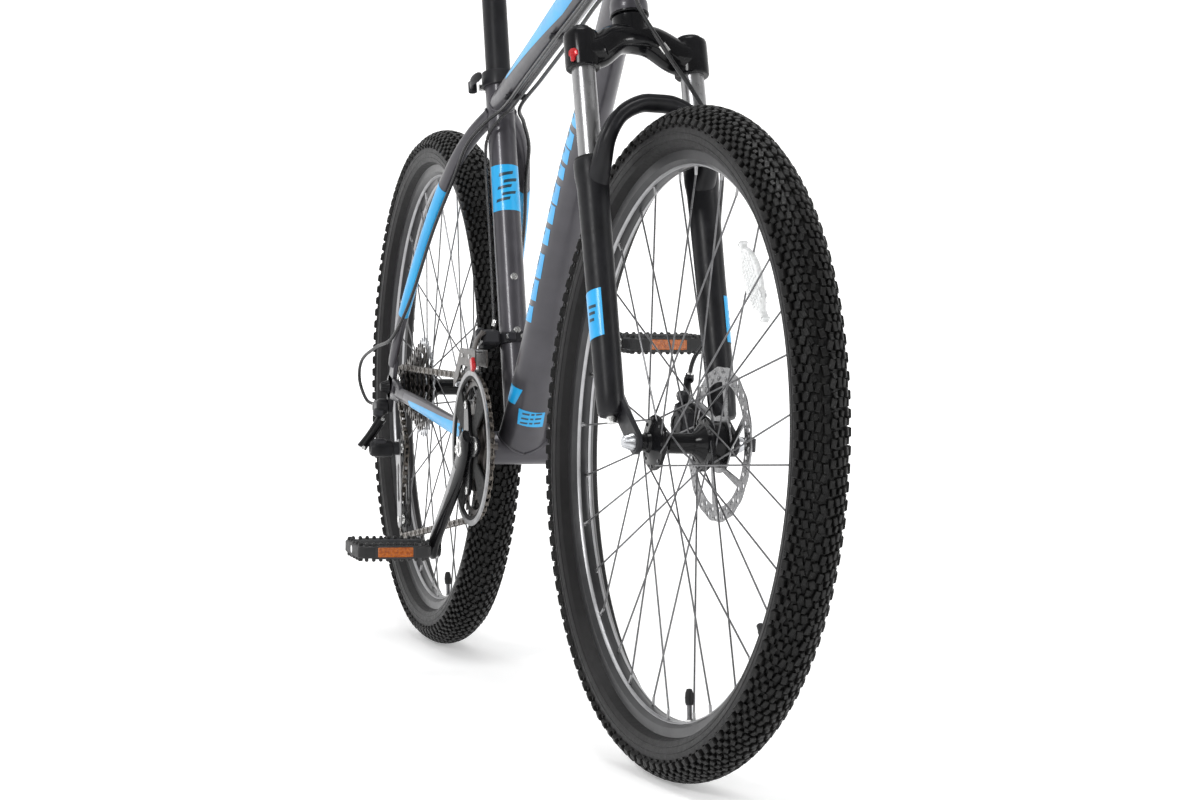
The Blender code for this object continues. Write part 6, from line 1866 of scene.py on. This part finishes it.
def cable_parts():
    """The four cables, each run smoothly from the bars to what it ends on."""
    rear_brake = [pod_exit(-1, 0.028, 0.0), fork_point(0.640, 0.150, -0.110),
                  fork_point(0.590, 0.120, -0.035),
                  fork_point(0.560, 0.060, 0.010), spot(0.318, 0.031, 0.868), spot(0.275, 0.030, 0.842),
                  *under_top_tube(0.010)]
    rear_brake += [spot(*p) for p in ((-0.215, 0.024, 0.690), (-0.250, 0.040, 0.662), (-0.289, 0.047, 0.6205),
                                      (-0.348, 0.060, 0.5520), (-0.428, 0.069, 0.4570),
                                      (-0.441, 0.0665, 0.4250))]
    rear_shift = [pod_exit(-1, 0.006, 0.022), fork_point(0.600, 0.125, -0.100),
                  fork_point(0.560, 0.090, -0.050),
                  spot(0.325, -0.034, 0.856), spot(0.275, -0.031, 0.840), *under_top_tube(-0.010)]
    rear_shift += [spot(*p) for p in ((-0.215, -0.024, 0.690), (-0.250, -0.040, 0.662),
                                      (-0.289, -0.047, 0.6205),
                                      (-0.348, -0.060, 0.5520), (-0.420, -0.071, 0.4660),
                                      (-0.470, -0.084, 0.4130),
                                      (-0.530, -0.094, 0.3970), (-0.585, -0.1010, 0.3780),
                                      (-0.606, -0.1000, 0.3500),
                                      (-0.595, -0.0920, 0.3230), (-0.5705, -0.0830, 0.3185))]
    front_shift = [pod_exit(1, 0.006, 0.022), fork_point(0.600, 0.120, 0.100),
                   fork_point(0.555, 0.080, 0.045),
                   spot(0.322, 0.026, 0.850), spot(0.275, 0.016, 0.8350), *under_top_tube(0.0)]
    front_shift += [spot(*p) for p in ((-0.200, -0.010, 0.694), (-0.215, -0.0215, 0.672),
                                       (-0.2165, -0.0235, 0.640),
                                       (-0.1930, -0.0225, 0.5500), (-0.1640, -0.0235, 0.4560),
                                       (-0.1605, -0.0245, 0.4390))]
    front_brake = [pod_exit(1, 0.028, 0.0)]
    front_brake += [fork_point(*p) for p in ((0.650, 0.150, 0.115), (0.608, 0.132, 0.042),
                                             (0.555, 0.088, 0.000),
                                             (0.500, 0.046, -0.012), (0.440, 0.033, 0.023),
                                             (0.400, 0.030, 0.050),
                                             (0.360, 0.026, 0.073), (0.320, 0.012, 0.0870),
                                             (0.260, -0.010, 0.0870), (0.160, -0.020, 0.0780),
                                             (0.118, -0.036, 0.0560), (0.098, -0.046, 0.0530))]
    front_arm = TURN @ (STRAIGHT_AXLE + FRONT_WAY * ARM_REACH + FRONT_ARM_WAY * ARM_LENGTH + Y * 0.0530)
    rear_arm = REAR_AXLE + REAR_WAY * ARM_REACH + REAR_ARM_WAY * ARM_LENGTH + Y * 0.0664
    for name, route, radius, body, start, end, clamp in (
        ("rear_brake_cable", rear_brake, 0.0024, "frame", 1, 5, rear_arm),
        ("rear_shift_cable", rear_shift, 0.0022, "frame", 1, 4, None),
        ("front_shift_cable", front_shift, 0.0020, "frame", 1, 4, None),
        ("front_brake_cable", front_brake, 0.0024, "fork_lowers", 5, 8, front_arm),
    ):
        piece = cable_piece(name, route, radius, clamp)
        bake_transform(piece)
        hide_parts(name)


# Stage


FLOOR_HALF = 80
WALL_R = 60
WALL_HIGH = 9
WALL_STEPS = 64
WHITE = (1, 1, 1, 1)
CAMERA_PLACE = (3.5937, -0.9558, 0.5653)
CAMERA_TURN = (164.1118, -3.1830, 0.9504)
LENS_MM = 94.61
SENSOR_MM = 36


def area_light(name, place, target, size, energy):
    """A square soft light turned towards its target."""
    light = bpy.data.lights.new(name, "AREA")
    light.energy = energy
    light.size = size
    obj = bpy.data.objects.new(name, light)
    obj.location = place
    obj.rotation_euler = (Vector(target) - Vector(place)).to_track_quat("-Z", "Y").to_euler()
    bpy.context.scene.collection.objects.link(obj)


def stage_piece(name, points, faces, **emission):
    """A pale surface which isn't part of the bike. Returns its material."""
    mesh = bpy.data.meshes.new(name)
    mesh.from_pydata(points, [], faces)
    obj = bpy.data.objects.new(name, mesh)
    bpy.context.scene.collection.objects.link(obj)
    paint = material("pale_" + name, (0.86, 0.86, 0.86), (0.88, 0.88, 0.88), (0.75, 0.85), 0.0, 2,
                     Emission_Color=WHITE, **emission)
    mesh.materials.append(paint)
    return paint


def stage():
    """A pale floor that whitens away from the bike, a far ring, a bright world and three soft lights."""
    corners = [(-FLOOR_HALF, -FLOOR_HALF, 0), (FLOOR_HALF, -FLOOR_HALF, 0), (FLOOR_HALF, FLOOR_HALF, 0),
               (-FLOOR_HALF, FLOOR_HALF, 0)]
    tree = stage_piece("floor", corners, [(0, 1, 2, 3)]).node_tree
    away = node(tree, "ShaderNodeVectorMath", operation="LENGTH")
    tree.links.new(node(tree, "ShaderNodeTexCoord").outputs["Object"], away.inputs[0])
    tree.links.new(spread(tree, away.outputs["Value"], 0.30, 0.85, 0.9, 3.0),
                   tree.nodes["Principled BSDF"].inputs["Emission Strength"])
    ring = circle(0, 0, WALL_R, WALL_STEPS)
    points = [(x, y, z) for z in (0, WALL_HIGH) for x, y in ring]
    faces = []
    for k in range(WALL_STEPS):
        following = (k + 1) % WALL_STEPS
        faces.append((k, following, following + WALL_STEPS, k + WALL_STEPS))
    stage_piece("backdrop", points, faces, Emission_Strength=0.45)
    world = bpy.data.worlds.new("studio")
    world.use_nodes = True
    tree = world.node_tree
    heading = node(tree, "ShaderNodeSeparateXYZ")
    tree.links.new(node(tree, "ShaderNodeTexCoord").outputs["Generated"], heading.inputs["Vector"])
    glow = spread(tree, heading.outputs["X"], 1.08, 0.34, -0.55, 0.25)
    tree.links.new(glow, tree.nodes["Background"].inputs["Strength"])
    tree.nodes["Background"].inputs["Color"].default_value = WHITE
    bpy.context.scene.world = world
    area_light("key", (2.4, -2.6, 2.6), (0, 0, 0.4), 0.9, 52)
    area_light("fill", (2.6, 3.0, 1.6), (0, 0, 0.5), 0.8, 34)
    area_light("top", (0.3, -0.2, 3.2), (0, 0, 0.4), 1.4, 40)


def camera():
    """A low view from ahead of the bike and to its right."""
    yaw, pitch, roll = [radians(angle) for angle in CAMERA_TURN]
    forward = Vector((cos(pitch) * cos(yaw), cos(pitch) * sin(yaw), sin(pitch)))
    right = forward.cross(Z).normalized()
    up = right.cross(forward)
    turned_right = right * cos(roll) + up * sin(roll)
    turned_up = up * cos(roll) - right * sin(roll)
    data = bpy.data.cameras.new("camera")
    data.sensor_width = SENSOR_MM
    data.lens = LENS_MM
    obj = bpy.data.objects.new("camera", data)
    basis = Matrix((turned_right, turned_up, -forward)).transposed().to_4x4()
    obj.matrix_world = Matrix.Translation(spot(*CAMERA_PLACE)) @ basis
    bpy.context.scene.collection.objects.link(obj)
    bpy.context.scene.camera = obj


bpy.context.scene.view_settings.view_transform = "Standard"
camera()
stage()
wheels()
frame_parts()
fork_parts()
cockpit_parts()
seat_parts()
brake_parts()
drivetrain_parts()
cable_parts()
